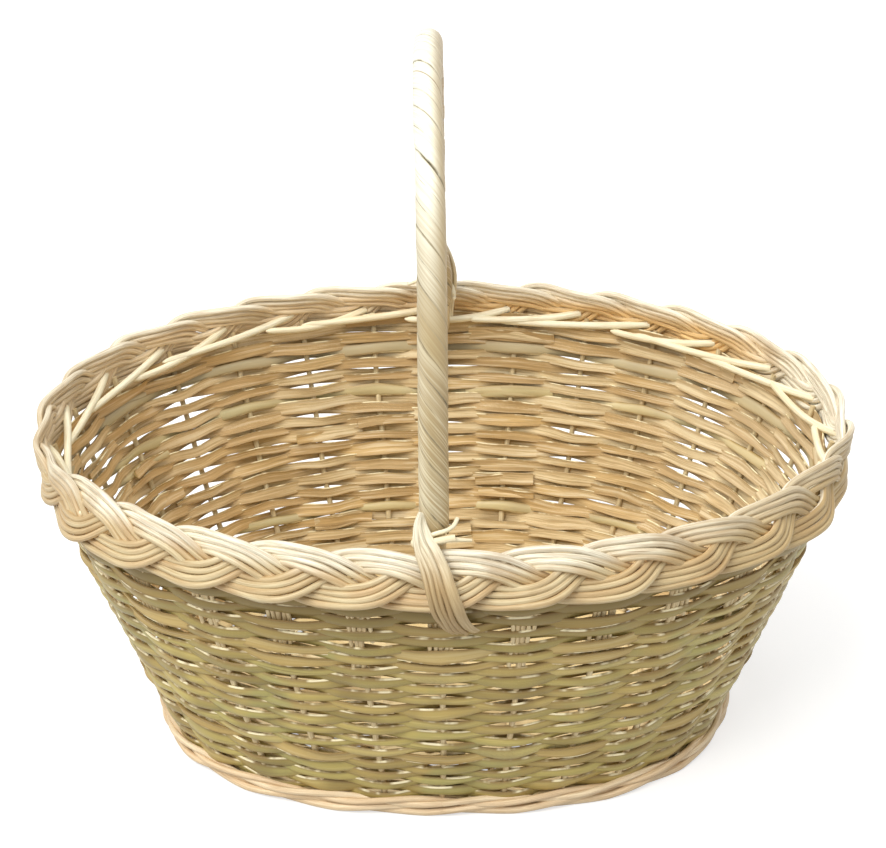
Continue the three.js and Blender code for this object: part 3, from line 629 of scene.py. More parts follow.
border_rod = rod_material(
    "peeled border rod", (0.36, 0.22, 0.09), (0.53, 0.38, 0.19), (0.67, 0.57, 0.35),
    (0.22, 0.12, 0.045), tints=border_tints)
bundle_rod = rod_material(
    "bundle rod", (0.32, 0.20, 0.09), (0.42, 0.29, 0.135), (0.54, 0.42, 0.23),
    (0.18, 0.10, 0.04), tints=bundle_tints)
pale_rod = rod_material(
    "pale peeled rod", (0.68, 0.53, 0.30), (0.86, 0.76, 0.52), (0.94, 0.89, 0.68),
    (0.42, 0.28, 0.13), 0.4)
stake_rod = rod_material(
    "stake rod", (0.44, 0.30, 0.14), (0.62, 0.48, 0.26), (0.78, 0.66, 0.41), (0.24, 0.14, 0.05))
foot_rod = rod_material(
    "foot rod", (0.52, 0.34, 0.17), (0.75, 0.55, 0.33), (0.88, 0.73, 0.50), (0.28, 0.16, 0.07), 0.6)
print("rod finishes are ready")

# %% [markdown]
# ## Split peel
# One split strip shows three surfaces. The section keeps its place in the `ring` value, so the
# material knows the skin side (thick direction positive), the pith side (negative) and the two
# cut edges. Each strip has its own tone, from brown olive to grey green. The skin is painted
# darker close under the border as a painted shadow of the plait, and faded where it faces the
# inside. The pith is painted paler on the right as painted light, and is orange on the left, an
# orange made brighter as painted light. Towards both cut edges a strip is painted darker as
# painted shade.

# %% Material: split peel
LIGHTENED_ORANGE_PITH = (0.84, 0.55, 0.25)
UNDER_BORDER_SHADE_Z = (0.106, 0.134)


def peel_material(name, skin_tones, pith_tones, edge_tone, crease_and_shade_tone, faded_and_lit, dark_tone_and_shade):
    n = CaneFinish(name, skin_tones[1], 2.6, 28.0, 7.0)
    x, z, streak = n.place["X"], n.place["Z"], n.streak
    slow, other = n.tone["Slow"], n.tone["Other"]
    facing = n.facing()
    mixed = {0: 0.55, 2: n.tone["Own"], 3: slow}
    own = n.add("ShaderNodeMix", mixed, data_type="FLOAT").outputs[0]
    slower = n.group(tones, Patch=30.0)["Slow"]
    skin = n.layered(
        skin_tones[0],
        (skin_tones[1], n.spread(own, 0.35, 0.62)),
        (skin_tones[2], n.spread(n.tone["Patch"], 0.5, 0.66)),
        (skin_tones[3], n.spread(streak, 0.52, 0.7, 0.35)),
        (dark_tone_and_shade, n.spread(slower, 0.5, 0.68, 0.6)),
        (dark_tone_and_shade, n.spread(other, 0.55, 1.0, 0.45)),
        (skin_tones[3], n.spread(other, 0.35, 0.0, 0.4)),
        # painted shadow: the skin is painted darker close under the border
        (dark_tone_and_shade, n.spread(z, 0.108, 0.138, 0.8)),
        (faded_and_lit, n.spread(facing, 0.2, -0.3, 0.4)),
    )
    outside = n.spread(facing, 0.1, 0.6, 0.7)
    pith = n.layered(
        pith_tones[0],
        (pith_tones[1], n.spread(other, 0.2, 0.8)),
        (pith_tones[2], n.spread(slow, 0.5, 0.68)),
        (pith_tones[3], n.spread(streak, 0.52, 0.38, 0.65)),
        (faded_and_lit, n.spread(streak, 0.5, 0.64, 0.5)),
        # painted light: the pith is painted paler on the right
        (faded_and_lit, n.spread(x, 0.08, 0.2, 0.3)),
        # orange pith on the left, made brighter as painted light where that wall lies in shade
        (LIGHTENED_ORANGE_PITH, n.spread(x, -0.05, -0.17, 0.3)),
        (skin_tones[0], outside),
    )
    # painted shade: each strip is painted darker towards its cut edges, darkest on the outer faces
    edge_shade = n.spread(n.maths("ABSOLUTE", n.ring["X"]), 0.4, 1.0, 0.7)
    edge_shade_tone = n.layered(pith_tones[3], (crease_and_shade_tone, outside))
    along = n.join(X=n.attribute("run"), Y=n.attribute("number"))
    worn = n.spread(n.noise(along, 60.0, 3.0), 0.48, 0.58)
    colour = n.layered(
        pith,
        (skin, n.spread(n.ring["Y"], -0.25, 0.25)),
        # painted shadow under the border on the outer faces
        (dark_tone_and_shade, n.times(n.spread(z, *UNDER_BORDER_SHADE_Z), outside)),
        (edge_shade_tone, edge_shade),
        (edge_tone, n.times(n.spread(n.ring["X"], 0.74, 0.9), worn)),
        (crease_and_shade_tone, n.times(n.crease, 0.5)),
    )
    return n.finished(colour, n.spread(n.ring["Y"], -0.25, 0.25, 0.42, 0.66))


SKIN = ((0.49, 0.36, 0.115), (0.48, 0.39, 0.12), (0.41, 0.36, 0.12), (0.68, 0.57, 0.24))
PITH = ((0.55, 0.37, 0.165), (0.74, 0.59, 0.34), (0.66, 0.45, 0.19), (0.40, 0.26, 0.11))
MAT = ((0.74, 0.60, 0.33), (0.80, 0.67, 0.40), (0.70, 0.54, 0.27), (0.50, 0.36, 0.17))
wall_peel = peel_material(
    "split peel of the wall", SKIN, PITH, (0.94, 0.85, 0.57), (0.17, 0.10, 0.03),
    faded_and_lit=(0.88, 0.78, 0.56), dark_tone_and_shade=(0.24, 0.17, 0.05))
base_peel = peel_material(
    "split peel of the base", MAT, MAT, (0.82, 0.70, 0.44), (0.20, 0.12, 0.05),
    faded_and_lit=MAT[1], dark_tone_and_shade=MAT[2])
print("peel finishes are ready")

# %% [markdown]
# ## Handle skein
# The handle is wound with wide skeins shaved thin. They are painted nearly white on top and tan
# lower down, as painted light and shade over their own tone. Where a strip dives into the seam
# beside it, it is painted darker as painted shade, as dark as a crack in a few places, and there
# are small nicks. Low down the streaks are stronger and the left side is painted paler as
# painted light; the right side is painted browner as painted shade.

# %% Material: handle skein
SKEIN_VIEWPORT = (0.82, 0.74, 0.52)
SKEIN_TAN_AND_SHADE, SKEIN_PALE_AND_LIT = (0.42, 0.32, 0.16), (0.93, 0.92, 0.77)
SKEIN_LIT_LEFT, SKEIN_SHADED_RIGHT = (0.86, 0.80, 0.60), (0.52, 0.38, 0.19)
SKEIN_STREAKS = (0.42, 0.31, 0.16), (0.78, 0.70, 0.48)
SEAM_SHADE_TONE, NICK_TONE = (0.28, 0.23, 0.14), (0.26, 0.16, 0.07)


def skein_material(name):
    n = CaneFinish(name, SKEIN_VIEWPORT, 4.2, 16.0, 6.0)
    z = n.place["Z"]
    # painted light and shade: the skein is painted paler higher up and darker low down
    high, low = n.spread(z, 0.25, 0.385, 0.75), n.spread(z, 0.3, 0.2)
    level = n.maths("MULTIPLY_ADD", n.tone["Slow"], 0.7, high)
    shade_side = n.split(n.add("ShaderNodeNewGeometry").outputs["Normal"])["X"]
    dark_streak = n.times(n.spread(n.streak, 0.58, 0.36), n.spread(z, 0.2, 0.34, 0.3, 0.9))
    seam = n.spread(n.maths("ABSOLUTE", n.ring["X"]), 0.84, 1.0)
    broken = n.spread(n.noise(n.attribute("run"), 70.0), 0.38, 0.6, 1.0, 0.25)
    colour = n.layered(
        SKEIN_TAN_AND_SHADE,
        (SKEIN_PALE_AND_LIT, n.spread(level, 0.25, 1.0)),
        # painted light on the left side low down, and painted shade on the right side
        (SKEIN_LIT_LEFT, n.times(n.spread(shade_side, -0.1, -0.9, 0.6), low)),
        (SKEIN_SHADED_RIGHT, n.spread(shade_side, 0.0, 0.9, 0.75)),
        (SKEIN_STREAKS[0], dark_streak),
        (SKEIN_STREAKS[1], n.times(n.spread(n.streak, 0.5, 0.64, 0.6), low)),
        # painted shade along the seams between skeins, as dark as a crack in places
        (SEAM_SHADE_TONE, n.times(seam, broken)),
        (NICK_TONE, n.spread(n.crease, 0.55, 1.0, 0.8)),
    )
    return n.finished(colour, n.spread(n.streak, 0.3, 0.7, 0.4, 0.55, "LINEAR"), 0.3)


skein = skein_material("handle skein")
print("skein finish is ready")

# %% [markdown]
# ## Stakes
# A stake is one rod. Its inner end lies in the base, it bends up at the edge and stands in the
# wall up to the border. All 28 follow the same rule at their own angle, and each keeps a slight
# waver of its own, because a peeled rod is never quite straight. At the front the thin ends of
# the border rods can be seen between the strips, pushed down on both sides of a stake.

# %% Stakes
STAKE_RADIUS = 1.6
STAKE_TOP_Z = 151.0
STAKE_WAVER = 0.5
STAKE_SEED = 100
SPOKE_INSET = 62.0
BEND_INSET = 4.6
BEND_Z = 11.6
BESIDE = (-4.9, -2.6, 2.6, 4.9)
BESIDE_LOW_Z = (98, 122)
BESIDE_RADIUS = 1.12
BESIDE_POINTS = 16
BESIDE_SEEDS = (1500, 1600)
FRONT_REACH = 6


def stake_points(t, count=34):
    inner, start = base_point(t, SPOKE_INSET), base_point(t, BEND_INSET)
    corner, end = base_point(t, 0.0), wall(t, BEND_Z)
    flat = [between(inner, start, share) for share in np.linspace(0, 1, 8)[:-1]]
    bend = [
        start * (1 - f) ** 2 + corner * 2 * f * (1 - f) + end * f**2 for f in np.linspace(0, 1, 7)]
    rise = [wall(t, z) for z in np.linspace(BEND_Z, STAKE_TOP_Z, count)[1:]]
    return np.array(flat + bend + rise)


def stake_path(index):
    t = stake_angle(index)
    points = stake_points(t)
    around = wall_frame(np.array(t), 60.0)[0]
    share = np.linspace(0, 1, len(points))
    waver = STAKE_WAVER * wander(share, STAKE_SEED + index, 0.7, 1.9, 3.1) * np.sin(share * math.pi)
    radius = STAKE_RADIUS * (1.02 - 0.12 * share)
    return make_path(moved(points, (around, waver)), around, radius, number=float(index))


def beside_paths(index):
    dice = np.random.default_rng(BESIDE_SEEDS[0] + index)
    t = np.full(BESIDE_POINTS, stake_angle(index))
    paths = []
    for order, place in enumerate(BESIDE):
        z = np.linspace(dice.uniform(*BESIDE_LOW_Z), STAKE_TOP_Z, BESIDE_POINTS)
        around, up, out = wall_frame(t, z)
        seed = BESIDE_SEEDS[1] + 10 * index + order
        sway = place + dice.uniform(-0.3, 0.3) + 0.35 * wander(z / 60, seed, 1.0, 2.0)
        points = moved(wall(t, z), (around, sway), (out, 0.5))
        number = 1000.0 + 10 * index + order
        paths.append(make_path(points, around, BESIDE_RADIUS, number=number))
    return paths


for index in range(STAKES):
    paths = [stake_path(index)]
    if min(index, STAKES - index) <= FRONT_REACH:
        paths += beside_paths(index)
    dress(f"stake_{index + 1:02d}", "rod", paths, stake_rod, "stake_rod", sides=9)

# %% [markdown]
# ## Wall of split weavers
# Two weavers chase each other round the basket, one row apart and always on opposite sides of
# a stake. Each is a chain of split lengths: a new length starts beside the end of the last, on
# the inside, where the cut ends stick out a little. A path runs in stations, one per stake, and
# each length has its own width, thickness and tone. Some were laid with the skin inwards. The
# weavers crowd together at the stakes and part between them, most at the left and a little at
# the right, which leaves small openings beside a stake. The lowest rows press against the foot
# and the highest go up under the border, so no light comes through there.

# %% Siding
ROWS = 30
SIDING_LOW_Z = 13.8
SIDING_HIGH_Z = 138.8
ROW_PITCH = (SIDING_HIGH_Z - SIDING_LOW_Z) / (ROWS + 1)
STATIONS_PER_WEAVER = 140
LOWEST_ROW = -2.2
HIGHEST_ROW = 33.1
POINTS_PER_STATION = 12
LENGTH_STATIONS = (13, 27)
LENGTH_OVERLAP = (0.32, 0.7)
WEAVER_REACH = 2.15
WEAVER_WIDTH = (6.1, 0.8)
WEAVER_THICK = (1.2, 1.6)
WEAVER_BOW = 0.8
SKIN_INSIDE_SHARE = 0.06
OPEN_T, OPEN_WIDTH = 2.72, 0.6
OPEN_TOP_ROW = 30.5
RIGHT_T, RIGHT_WIDTH = 0.75, 0.38
RIGHT_ROW, RIGHT_ROWS = 13, 7
PAIR_CLOSE = 0.35
PAIR_OPEN = 1.1
PAIR_RIGHT = 0.55
UNDER_BORDER_ROW = 27


def siding_length(first, last, start, number, dice):
    station = np.linspace(first, last, int((last - first) * POINTS_PER_STATION) + 1)
    turns = station / STAKES
    row = turns * 2
    t = rim_angle(turns)
    side = np.cos(math.pi * (station + start))

    def own_wander(stations, seed, *waves):
        return wander(station / stations, seed + int(number), *waves)

    open_part = near(t, OPEN_T, OPEN_WIDTH) * np.clip((OPEN_TOP_ROW - row) / 2, 0, 1)
    right_part = near(t, RIGHT_T, RIGHT_WIDTH) * np.exp(-((row - RIGHT_ROW) / RIGHT_ROWS) ** 2)
    pair = PAIR_CLOSE + PAIR_OPEN * open_part + PAIR_RIGHT * right_part
    pair = pair * (1 + 0.45 * own_wander(7, 1200, 1.0, 2.2))
    z = SIDING_LOW_Z + ROW_PITCH * (row + start) + (1 - 2 * start) * pair * np.abs(side) ** 2.5
    z = z + 0.5 * wander(turns % 1.0 * 6 + z / 40, 11, 1.0, 2.3)
    z = z + 0.3 * own_wander(6, 900, 1.0, 2.1, 4.3) + dice.normal(0, 0.3)
    around, up, out = wall_frame(t, np.maximum(z, 1.0))
    from_end = np.minimum(station - first, last - station)
    loose = np.clip(1 - from_end / 0.55, 0, 1) ** 1.5
    reach = WEAVER_REACH + 0.4 * own_wander(5, 500, 1.0, 2.7)
    outward = side * reach - loose * dice.uniform(0.6, 2.6)
    points = moved(wall(t, z), (out, outward), (up, loose * dice.uniform(-1.6, 1.2)))
    lean = math.radians(9) * own_wander(3, 700, 1.0, 2.2) + math.radians(dice.uniform(-8, 8))
    turned = -1.0 if dice.uniform() < SKIN_INSIDE_SHARE else 1.0
    facing = swung(out, up, lean) * turned
    width = dice.normal(*WEAVER_WIDTH) * (1 + 0.12 * own_wander(5, 300, 1.0, 2.4, 4.1))
    width = (width - 0.7 * open_part) * (0.95 + 0.07 * side**4)
    width = width + 1.2 * np.clip((row - UNDER_BORDER_ROW) / 2, 0, 1)
    thick = dice.uniform(*WEAVER_THICK)
    return make_path(points, facing, width / 2, thick / 2, bow=WEAVER_BOW, number=number)


def siding_paths(start, part):
    dice = np.random.default_rng(41 + 10 * start + part)
    first = part * STATIONS_PER_WEAVER
    end = first + STATIONS_PER_WEAVER - 1
    if part == 0:
        first = round((LOWEST_ROW - start) / 2 * STAKES)
    if part == 2:
        end = round((HIGHEST_ROW - start) / 2 * STAKES)
    first -= (first + start + 1) % 2
    end += (end + start + 1) % 2
    paths = []
    here = first - 0.4
    while here < end:
        stop = round(here) + int(dice.integers(*LENGTH_STATIONS))
        stop += (stop + start + 1) % 2
        last = end + 0.4 if stop > end - 8 else stop + dice.uniform(*LENGTH_OVERLAP)
        number = float(100 * start + 30 * part + len(paths))
        paths.append(siding_length(here, last, start, number, dice))
        here = last if last > end else stop - dice.uniform(*LENGTH_OVERLAP)
    return paths


for start in range(2):
    for part in range(3):
        name = f"siding_weaver_{'ab'[start]}{part + 1}"
        paths = siding_paths(start, part)
        dress(name, "peel", paths, wall_peel, "siding_peel", sides=12, squareness=3.6)

# %% [markdown]
# ## Base
# The base is woven flat from the same peel. Seven wide splints cross in the middle, on top of
# the inner ends of the stakes, and six rows are woven round them.

# %% Base weavers and splints
BASE_FIRST_INSET = 9.2
BASE_LAST_INSET = 52.0
BASE_LEAST_INSET = 3.2
BASE_ROWS = 6
BASE_HALF_WEAVER = 4.6
BASE_REACH = 2.55
BASE_PITCH = (BASE_LAST_INSET - BASE_FIRST_INSET) / (BASE_ROWS + 1)
MAT_Z = BASE_Z + 3.3
SPLINT_LEVEL = 0.8
SPLINT_HALF_WIDTH = 15.6
BASE_HALF_THICK = 0.6
SPLINT_WAYS = ("long", "cross")
SPLINT_PITCH = (32.0, 33.0)
SPLINT_HALVES = ((76.0, 93.0, 76.0), (54.0, 64.0, 64.0, 54.0))


def base_weaver_path(start):
    last = (BASE_ROWS // 2 + 1) * STAKES + 9
    station = np.arange(-(1.1 + 0.5 * start) * STAKES, last + 0.36, 1 / 10)
    turns = station / STAKES
    t = rim_angle(turns)
    inset = np.maximum(BASE_FIRST_INSET + BASE_PITCH * (turns * 2 + start), BASE_LEAST_INSET)
    points = np.array([base_point(a, i) for a, i in zip(t, inset)])
    reach = BASE_REACH + 0.1 * wander(station / 5, 61 + start, 1.0, 2.3)
    points[:, 2] += np.cos(math.pi * (station + start)) * reach
    half_width = BASE_HALF_WEAVER + 0.15 * wander(station / 9, 71 + start, 1.0, 2.0)
    return make_path(points, UPWARDS, half_width, BASE_HALF_THICK, bow=0.1, number=400.0 + start)


def splint_path(way, order):
    halves, crossed = SPLINT_HALVES[way], SPLINT_HALVES[1 - way]
    along = np.linspace(-halves[order], halves[order], 90)
    wave = np.cos(math.pi * (along / SPLINT_PITCH[1 - way] + (len(crossed) - 1) / 2))
    wave = wave * (-1) ** (way + order)
    level = MAT_Z + SPLINT_LEVEL * np.clip(wave * 1.6, -1, 1)
    beside = np.full_like(along, (order - (len(halves) - 1) / 2) * SPLINT_PITCH[way])
    points = np.stack([beside, along, level] if way else [along, beside, level], 1)
    number = 410.0 + 10 * way + order
    return make_path(points, UPWARDS, SPLINT_HALF_WIDTH, BASE_HALF_THICK, bow=0.15, number=number)


for start in range(2):
    name, paths = f"base_weaver_{start + 1}", [base_weaver_path(start)]
    dress(name, "peel", paths, base_peel, "base_peel", sides=12, squareness=5.0)
for way, halves in enumerate(SPLINT_HALVES):
    for order in range(len(halves)):
        name, path = f"base_splint_{SPLINT_WAYS[way]}_{order + 1}", splint_path(way, order)
        dress(name, "peel", [path], base_peel, "base_peel", sides=24, squareness=10.0)

# %% [markdown]
# ## Foot band
# The foot is two pairs of rods, each pair twisted round itself so that every half turn shows as
# a slanting rod. The lower pair carries the basket and is worn level underneath, the upper one
# binds the bends of the stakes. A band is its height, its place outside the wall, the radius and
# number of its twists, and the radius of its rods.

# %% Foot band
FOOT_BANDS = ((2.9, 4.1, 1.7, 9, 1.9), (7.6, 3.5, 1.5, 11, 1.65))
FOOT_POINTS = 560
FOOT_SEEDS = (5500, 5600)


def foot_path(band, phase, number):
    axis_z, offset, twist, turns, radius = band
    share = np.arange(0, 1, 1 / FOOT_POINTS)
    t = rim_angle(share)
    out = level_out(t, 0.5)
    fade = np.sin(share * math.pi)
    angle = share * turns * math.tau + phase
    angle = angle + 0.45 * wander(share * 9, FOOT_SEEDS[0] + int(number), 1.0, 2.0) * fade
    size = radius * (1 + 0.08 * wander(share * 14, FOOT_SEEDS[1] + int(number), 1.0, 2.0) * fade)
    centre = wall(t, axis_z)
    centre[:, 2] = axis_z + twist * np.sin(angle)
    centre = moved(centre, (out, offset + twist * np.cos(angle)))
    centre[:, 2] = np.maximum(centre[:, 2], size)
    return make_path(centre, out, size, number=number, closed=True)


for i in range(2):
    bands = enumerate(FOOT_BANDS)
    paths = [foot_path(band, i * math.pi, 500.0 + 2 * order + i) for order, band in bands]
    dress(f"foot_rod_{i + 1}", "twined", paths, foot_rod, "foot_rod")

# %% [markdown]
# ## Plaited border
# The border is a three-strand plait laid over the tops of the stakes, its face leaning out.
# Every strand is a flat bundle of four rods side by side. Its middle line swings across the
# plait once for every two times that it passes over and under, and each rod has its own waver,
# so that they part and close. At both ends and at the back the plait is tighter and stands
# steeper than at the front. It is tucked in at one place on the left, and hangs lower at one
# place on either side.

# %% Border
LEAN = math.radians(62)
LEAN_MORE_BACK = math.radians(17)
LEAN_MORE_ENDS = math.radians(28)
TILT = math.radians(7)
PLAIT_HALF_WIDTH = (8.8, 6.4)
PLAIT_HALF_DEPTH = (3.3, 2.0)
PLAIT_SNAP = (1.0, 2.2)
PLAIT_DRAG = 0.3
PLAIT_POINTS = 640
SEAM_SHARE = 0.0004
ENDS_OUT = 3.2
ENDS_NARROW = 0.22
TUCKED_T, TUCKED_WIDTH, TUCKED_NARROW = math.radians(188), math.radians(13), 0.36
HANG_T, HANG_WIDTH = (math.radians(211), math.radians(333)), math.radians(13)
HANG_LEAN, HANG_WIDER = math.radians(17), 0.28
BORDER_RODS = 4
BORDER_SEED = 2000
ROD_RADIUS = 1.7
ROD_PITCH = 3.25


def plait_rods(order):
    share = np.linspace(SEAM_SHARE, 1 - SEAM_SHARE, PLAIT_POINTS)
    t = rim_angle(share)
    out = level_out(t, BORDER_Z - 0.5)
    ends = np.cos(t) ** 4
    quiet = 1 - np.clip(-np.sin(t), 0, 1) ** 2
    behind = 0.5 + 0.5 * np.sin(t)
    hang = sum(near(t, place, HANG_WIDTH) for place in HANG_T)
    tucked = near(t, TUCKED_T, TUCKED_WIDTH)
    lean = LEAN + LEAN_MORE_BACK * behind + LEAN_MORE_ENDS * ends - HANG_LEAN * hang
    across, face = swung(out, UPWARDS, -lean), swung(UPWARDS, out, lean)
    angle = (share + order) * STAKES / 3 * math.tau
    angle = angle + PLAIT_DRAG * np.sin(t) * (0.75 + 0.25 * np.sin(t)) * np.sin(angle)
    snap = between(*PLAIT_SNAP, quiet)
    depth = between(*PLAIT_HALF_DEPTH, quiet)
    narrowed = 1 - ENDS_NARROW * ends - TUCKED_NARROW * tucked + HANG_WIDER * hang
    half_width = between(*PLAIT_HALF_WIDTH, behind) * narrowed
    swing = half_width * np.tanh(snap * np.sin(angle)) / np.tanh(snap)
    centre = moved(wall(t, BORDER_Z), (out, ENDS_OUT * ends), (across, swing))
    centre = moved(centre, (face, -depth * np.sin(2 * angle)))
    along = unit(np.gradient(centre, axis=0))
    wide = square_to(along, swung(across, face, -TILT * np.cos(angle)))
    thick = np.cross(along, wide)
    paths = []
    for rod in range(BORDER_RODS):
        seed = BORDER_SEED + 10 * order + rod
        place = (rod - (BORDER_RODS - 1) / 2) * ROD_PITCH
        sway = place * (1 - 0.1 * np.abs(np.sin(angle)) ** 3)
        sway = sway + 0.28 * wander(share * 28, seed, 0.5, 1.1)
        lift = 0.3 * wander(share * 28, seed + 400, 0.4, 0.9)
        radius = ROD_RADIUS * (1 + 0.07 * wander(share * 28, seed + 800, 0.3, 0.7))
        points = moved(centre, (wide, sway), (thick, lift))
        paths.append(make_path(points, thick, radius, number=600.0 + 10 * order + rod))
    return paths


for order in range(3):
    dress(f"border_strand_{order + 1}", "rods", plait_rods(order), border_rod, "border_rod")

# %% [markdown]
# ## Rod tails inside
# Each border bundle leaves one pale tail that lies along the inside of the wall under the
# plait. A tail starts high, tucked under the border, and comes down over the end of the next.

# %% Inner tails
TAIL_RADIUS = 1.95
TAIL_INSET = 4.6
TAIL_Z = 150.0
TAIL_SPAN = 1.75
TAIL_POINTS = 30
TAIL_SEED = 3000


def tail_path(index):
    dice = np.random.default_rng(TAIL_SEED + index)
    share = np.linspace(0, 1, TAIL_POINTS)
    turns = (index + 0.1 + share * (TAIL_SPAN + dice.uniform(-0.35, 0.55))) / STAKES
    t = rim_angle(turns)
    drop = dice.uniform(2.0, 5.0)
    z = TAIL_Z - drop * np.sin(share * math.pi * dice.uniform(0.5, 0.95)) + dice.uniform(-0.6, 0.9)
    z = z + dice.uniform(2.5, 5.0) * (1 - share) ** 3 * (1 - 0.4 * np.cos(math.tau * turns) ** 8)
    out = wall_frame(t, z)[2]
    start = TAIL_INSET + ENDS_OUT * np.cos(t) ** 4
    inset = TAIL_INSET - start * (1 - share) ** 6 + 2.8 * np.sin(share * math.pi) * share
    inset = inset + dice.uniform(-0.2, 0.5) + 0.6 * share**4
    radius = TAIL_RADIUS * (1.08 - 0.15 * share) * np.clip((1.02 - share) * 14, 0.3, 1)
    return make_path(moved(wall(t, z), (out, -inset)), -out, radius, number=700.0 + index)


dress("inner_rim_rod", "tails", [tail_path(index) for index in range(STAKES)], pale_rod, "tail_rod")

# %% [markdown]
# ## Handle hoop
# The hoop is a stout rod bent over and pushed down inside the wall at both ends. It is a rounded
# arch that leans a little to the left at the top, and its back leg swings out again near the
# border. These helpers give its middle line by length and the two directions across it.

# %% Hoop line
HANDLE_FOOT_Y = 135.4
HANDLE_FRONT_X = -2.9
HANDLE_TOP_X = -5.7
HANDLE_BACK_X = -2.5
HANDLE_LEAN_POWER = 6
HANDLE_FLARE = (178.0, 207.0)
HANDLE_RISE = 198.5
HANDLE_SQUARENESS = 2.25
HANDLE_END_Z = 151.0
HOOP_PROBE = 3.0

arch = np.linspace(0, 1, 401) * math.pi
arch_rise = np.abs(np.sin(arch)) ** (2 / HANDLE_SQUARENESS)
arch_run = np.abs(np.cos(arch)) ** (2 / HANDLE_SQUARENESS)
arch_y = -np.sign(np.cos(arch)) * HANDLE_FOOT_Y * arch_run
arch_z = BORDER_Z + HANDLE_RISE * arch_rise
front_x = between(HANDLE_FRONT_X, HANDLE_TOP_X, arch_rise**HANDLE_LEAN_POWER)
ease = np.clip((arch_z - HANDLE_FLARE[0]) / (HANDLE_FLARE[1] - HANDLE_FLARE[0]), 0, 1)
back_x = between(HANDLE_BACK_X, HANDLE_TOP_X, ease**2 * (3 - 2 * ease))
front_foot = [HANDLE_FRONT_X, -HANDLE_FOOT_Y, HANDLE_END_Z]
back_foot = [HANDLE_BACK_X, HANDLE_FOOT_Y, HANDLE_END_Z]
hoop = np.stack([np.where(arch_y < 0, front_x, back_x), arch_y, arch_z], 1)
hoop = np.concatenate([[front_foot], hoop, [back_foot]])
hoop_length = run_along(hoop)
HOOP_LENGTH = hoop_length[-1]


def hoop_point(length):
    return np.stack([np.interp(length, hoop_length, hoop[:, i]) for i in range(3)], axis=-1)


def hoop_frame(length):
    low, high = (np.clip(length + probe, 0, HOOP_LENGTH) for probe in (-HOOP_PROBE, HOOP_PROBE))
    along = unit(hoop_point(high) - hoop_point(low))
    side = square_to(along, RIGHTWARDS)
    return hoop_point(length), side, np.cross(side, along)


print("hoop length, mm:", round(float(HOOP_LENGTH), 1))

# %% [markdown]
# ## Skeins wound round the hoop
# Four wide skeins are wound side by side, with one full turn every 50 mm. Their edges are
# turned down, so that a seam shows between two of them, and they waver a little, as wound by
# hand. The core shows only at its two ends, which are pointed like pegs.

# %% Handle skeins and core
SKEIN_COUNT = 4
SKEIN_LEAD = 50.0
SKEIN_RADIUS = 6.25
SKEIN_HALF_WIDTH = 4.15
SKEIN_HALF_THICK = 0.75
SKEIN_BOW = 0.72
SKEIN_FRONT_LOW = 22.5
SKEIN_BACK_LOW = 15.0
SKEIN_POINTS = 560
SKEIN_SEEDS = (4000, 4100, 4200)
CORE_RADIUS = 5.6
CORE_HIDDEN_RADIUS = 3.5
CORE_BARE = 26.0
PEG_POINTS = ((107.0, 1.5, 4.9), (133.0, 2.3, 9.0))


def skein_path(order):
    length = np.linspace(SKEIN_FRONT_LOW, HOOP_LENGTH - SKEIN_BACK_LOW, SKEIN_POINTS)
    centre, side, out = hoop_frame(length)
    seeds = [seed + order for seed in SKEIN_SEEDS]
    angle = (length / SKEIN_LEAD + order / SKEIN_COUNT) * math.tau
    angle = angle + 0.1 * wander(length / 120, seeds[0], 1.0, 2.3)
    around = swung(side, out, angle)
    radius = SKEIN_RADIUS + 0.14 * wander(length / 60, seeds[1], 1.0, 2.1)
    width = SKEIN_HALF_WIDTH + 0.1 * wander(length / 45, seeds[2], 1.0, 1.7)
    points = moved(centre, (around, radius))
    return make_path(points, around, width, SKEIN_HALF_THICK, bow=SKEIN_BOW, number=800.0 + order)


def peg(side):
    foot_x = HANDLE_FRONT_X if side < 0 else HANDLE_BACK_X
    for z, radius, inset in PEG_POINTS:
        y = abs(wall(np.array(side * math.pi / 2), z)[1]) - inset
        yield [foot_x, side * y, z], radius


def core_path():
    front, back = list(peg(-1)), list(peg(1))[::-1]
    length = np.linspace(0, HOOP_LENGTH, 60)
    bare = np.minimum(length, HOOP_LENGTH - length) < CORE_BARE
    radii = np.where(bare, CORE_RADIUS, CORE_HIDDEN_RADIUS)
    places = [*front, *zip(hoop_point(length).tolist(), radii), *back]
    points, radii = zip(*places)
    return make_path(points, RIGHTWARDS, radii, number=820.0)


for order in range(SKEIN_COUNT):
    name = f"handle_wrap_{order + 1}"
    dress(name, "skein", [skein_path(order)], skein, "handle_skein", sides=20, squareness=3.6)
dress("handle_core", "rod", [core_path()], stake_rod, "handle_core", sides=12)

# %% [markdown]
# ## Lashing
# Just above the border each leg of the handle is lashed with thin rods. They pass under the
# bundle and behind the leg, and their cut ends stick out on the right. The places are read off
# the photograph at the front leg; the back leg has the same, turned half round. A rod is its
# places and its radius at both ends.

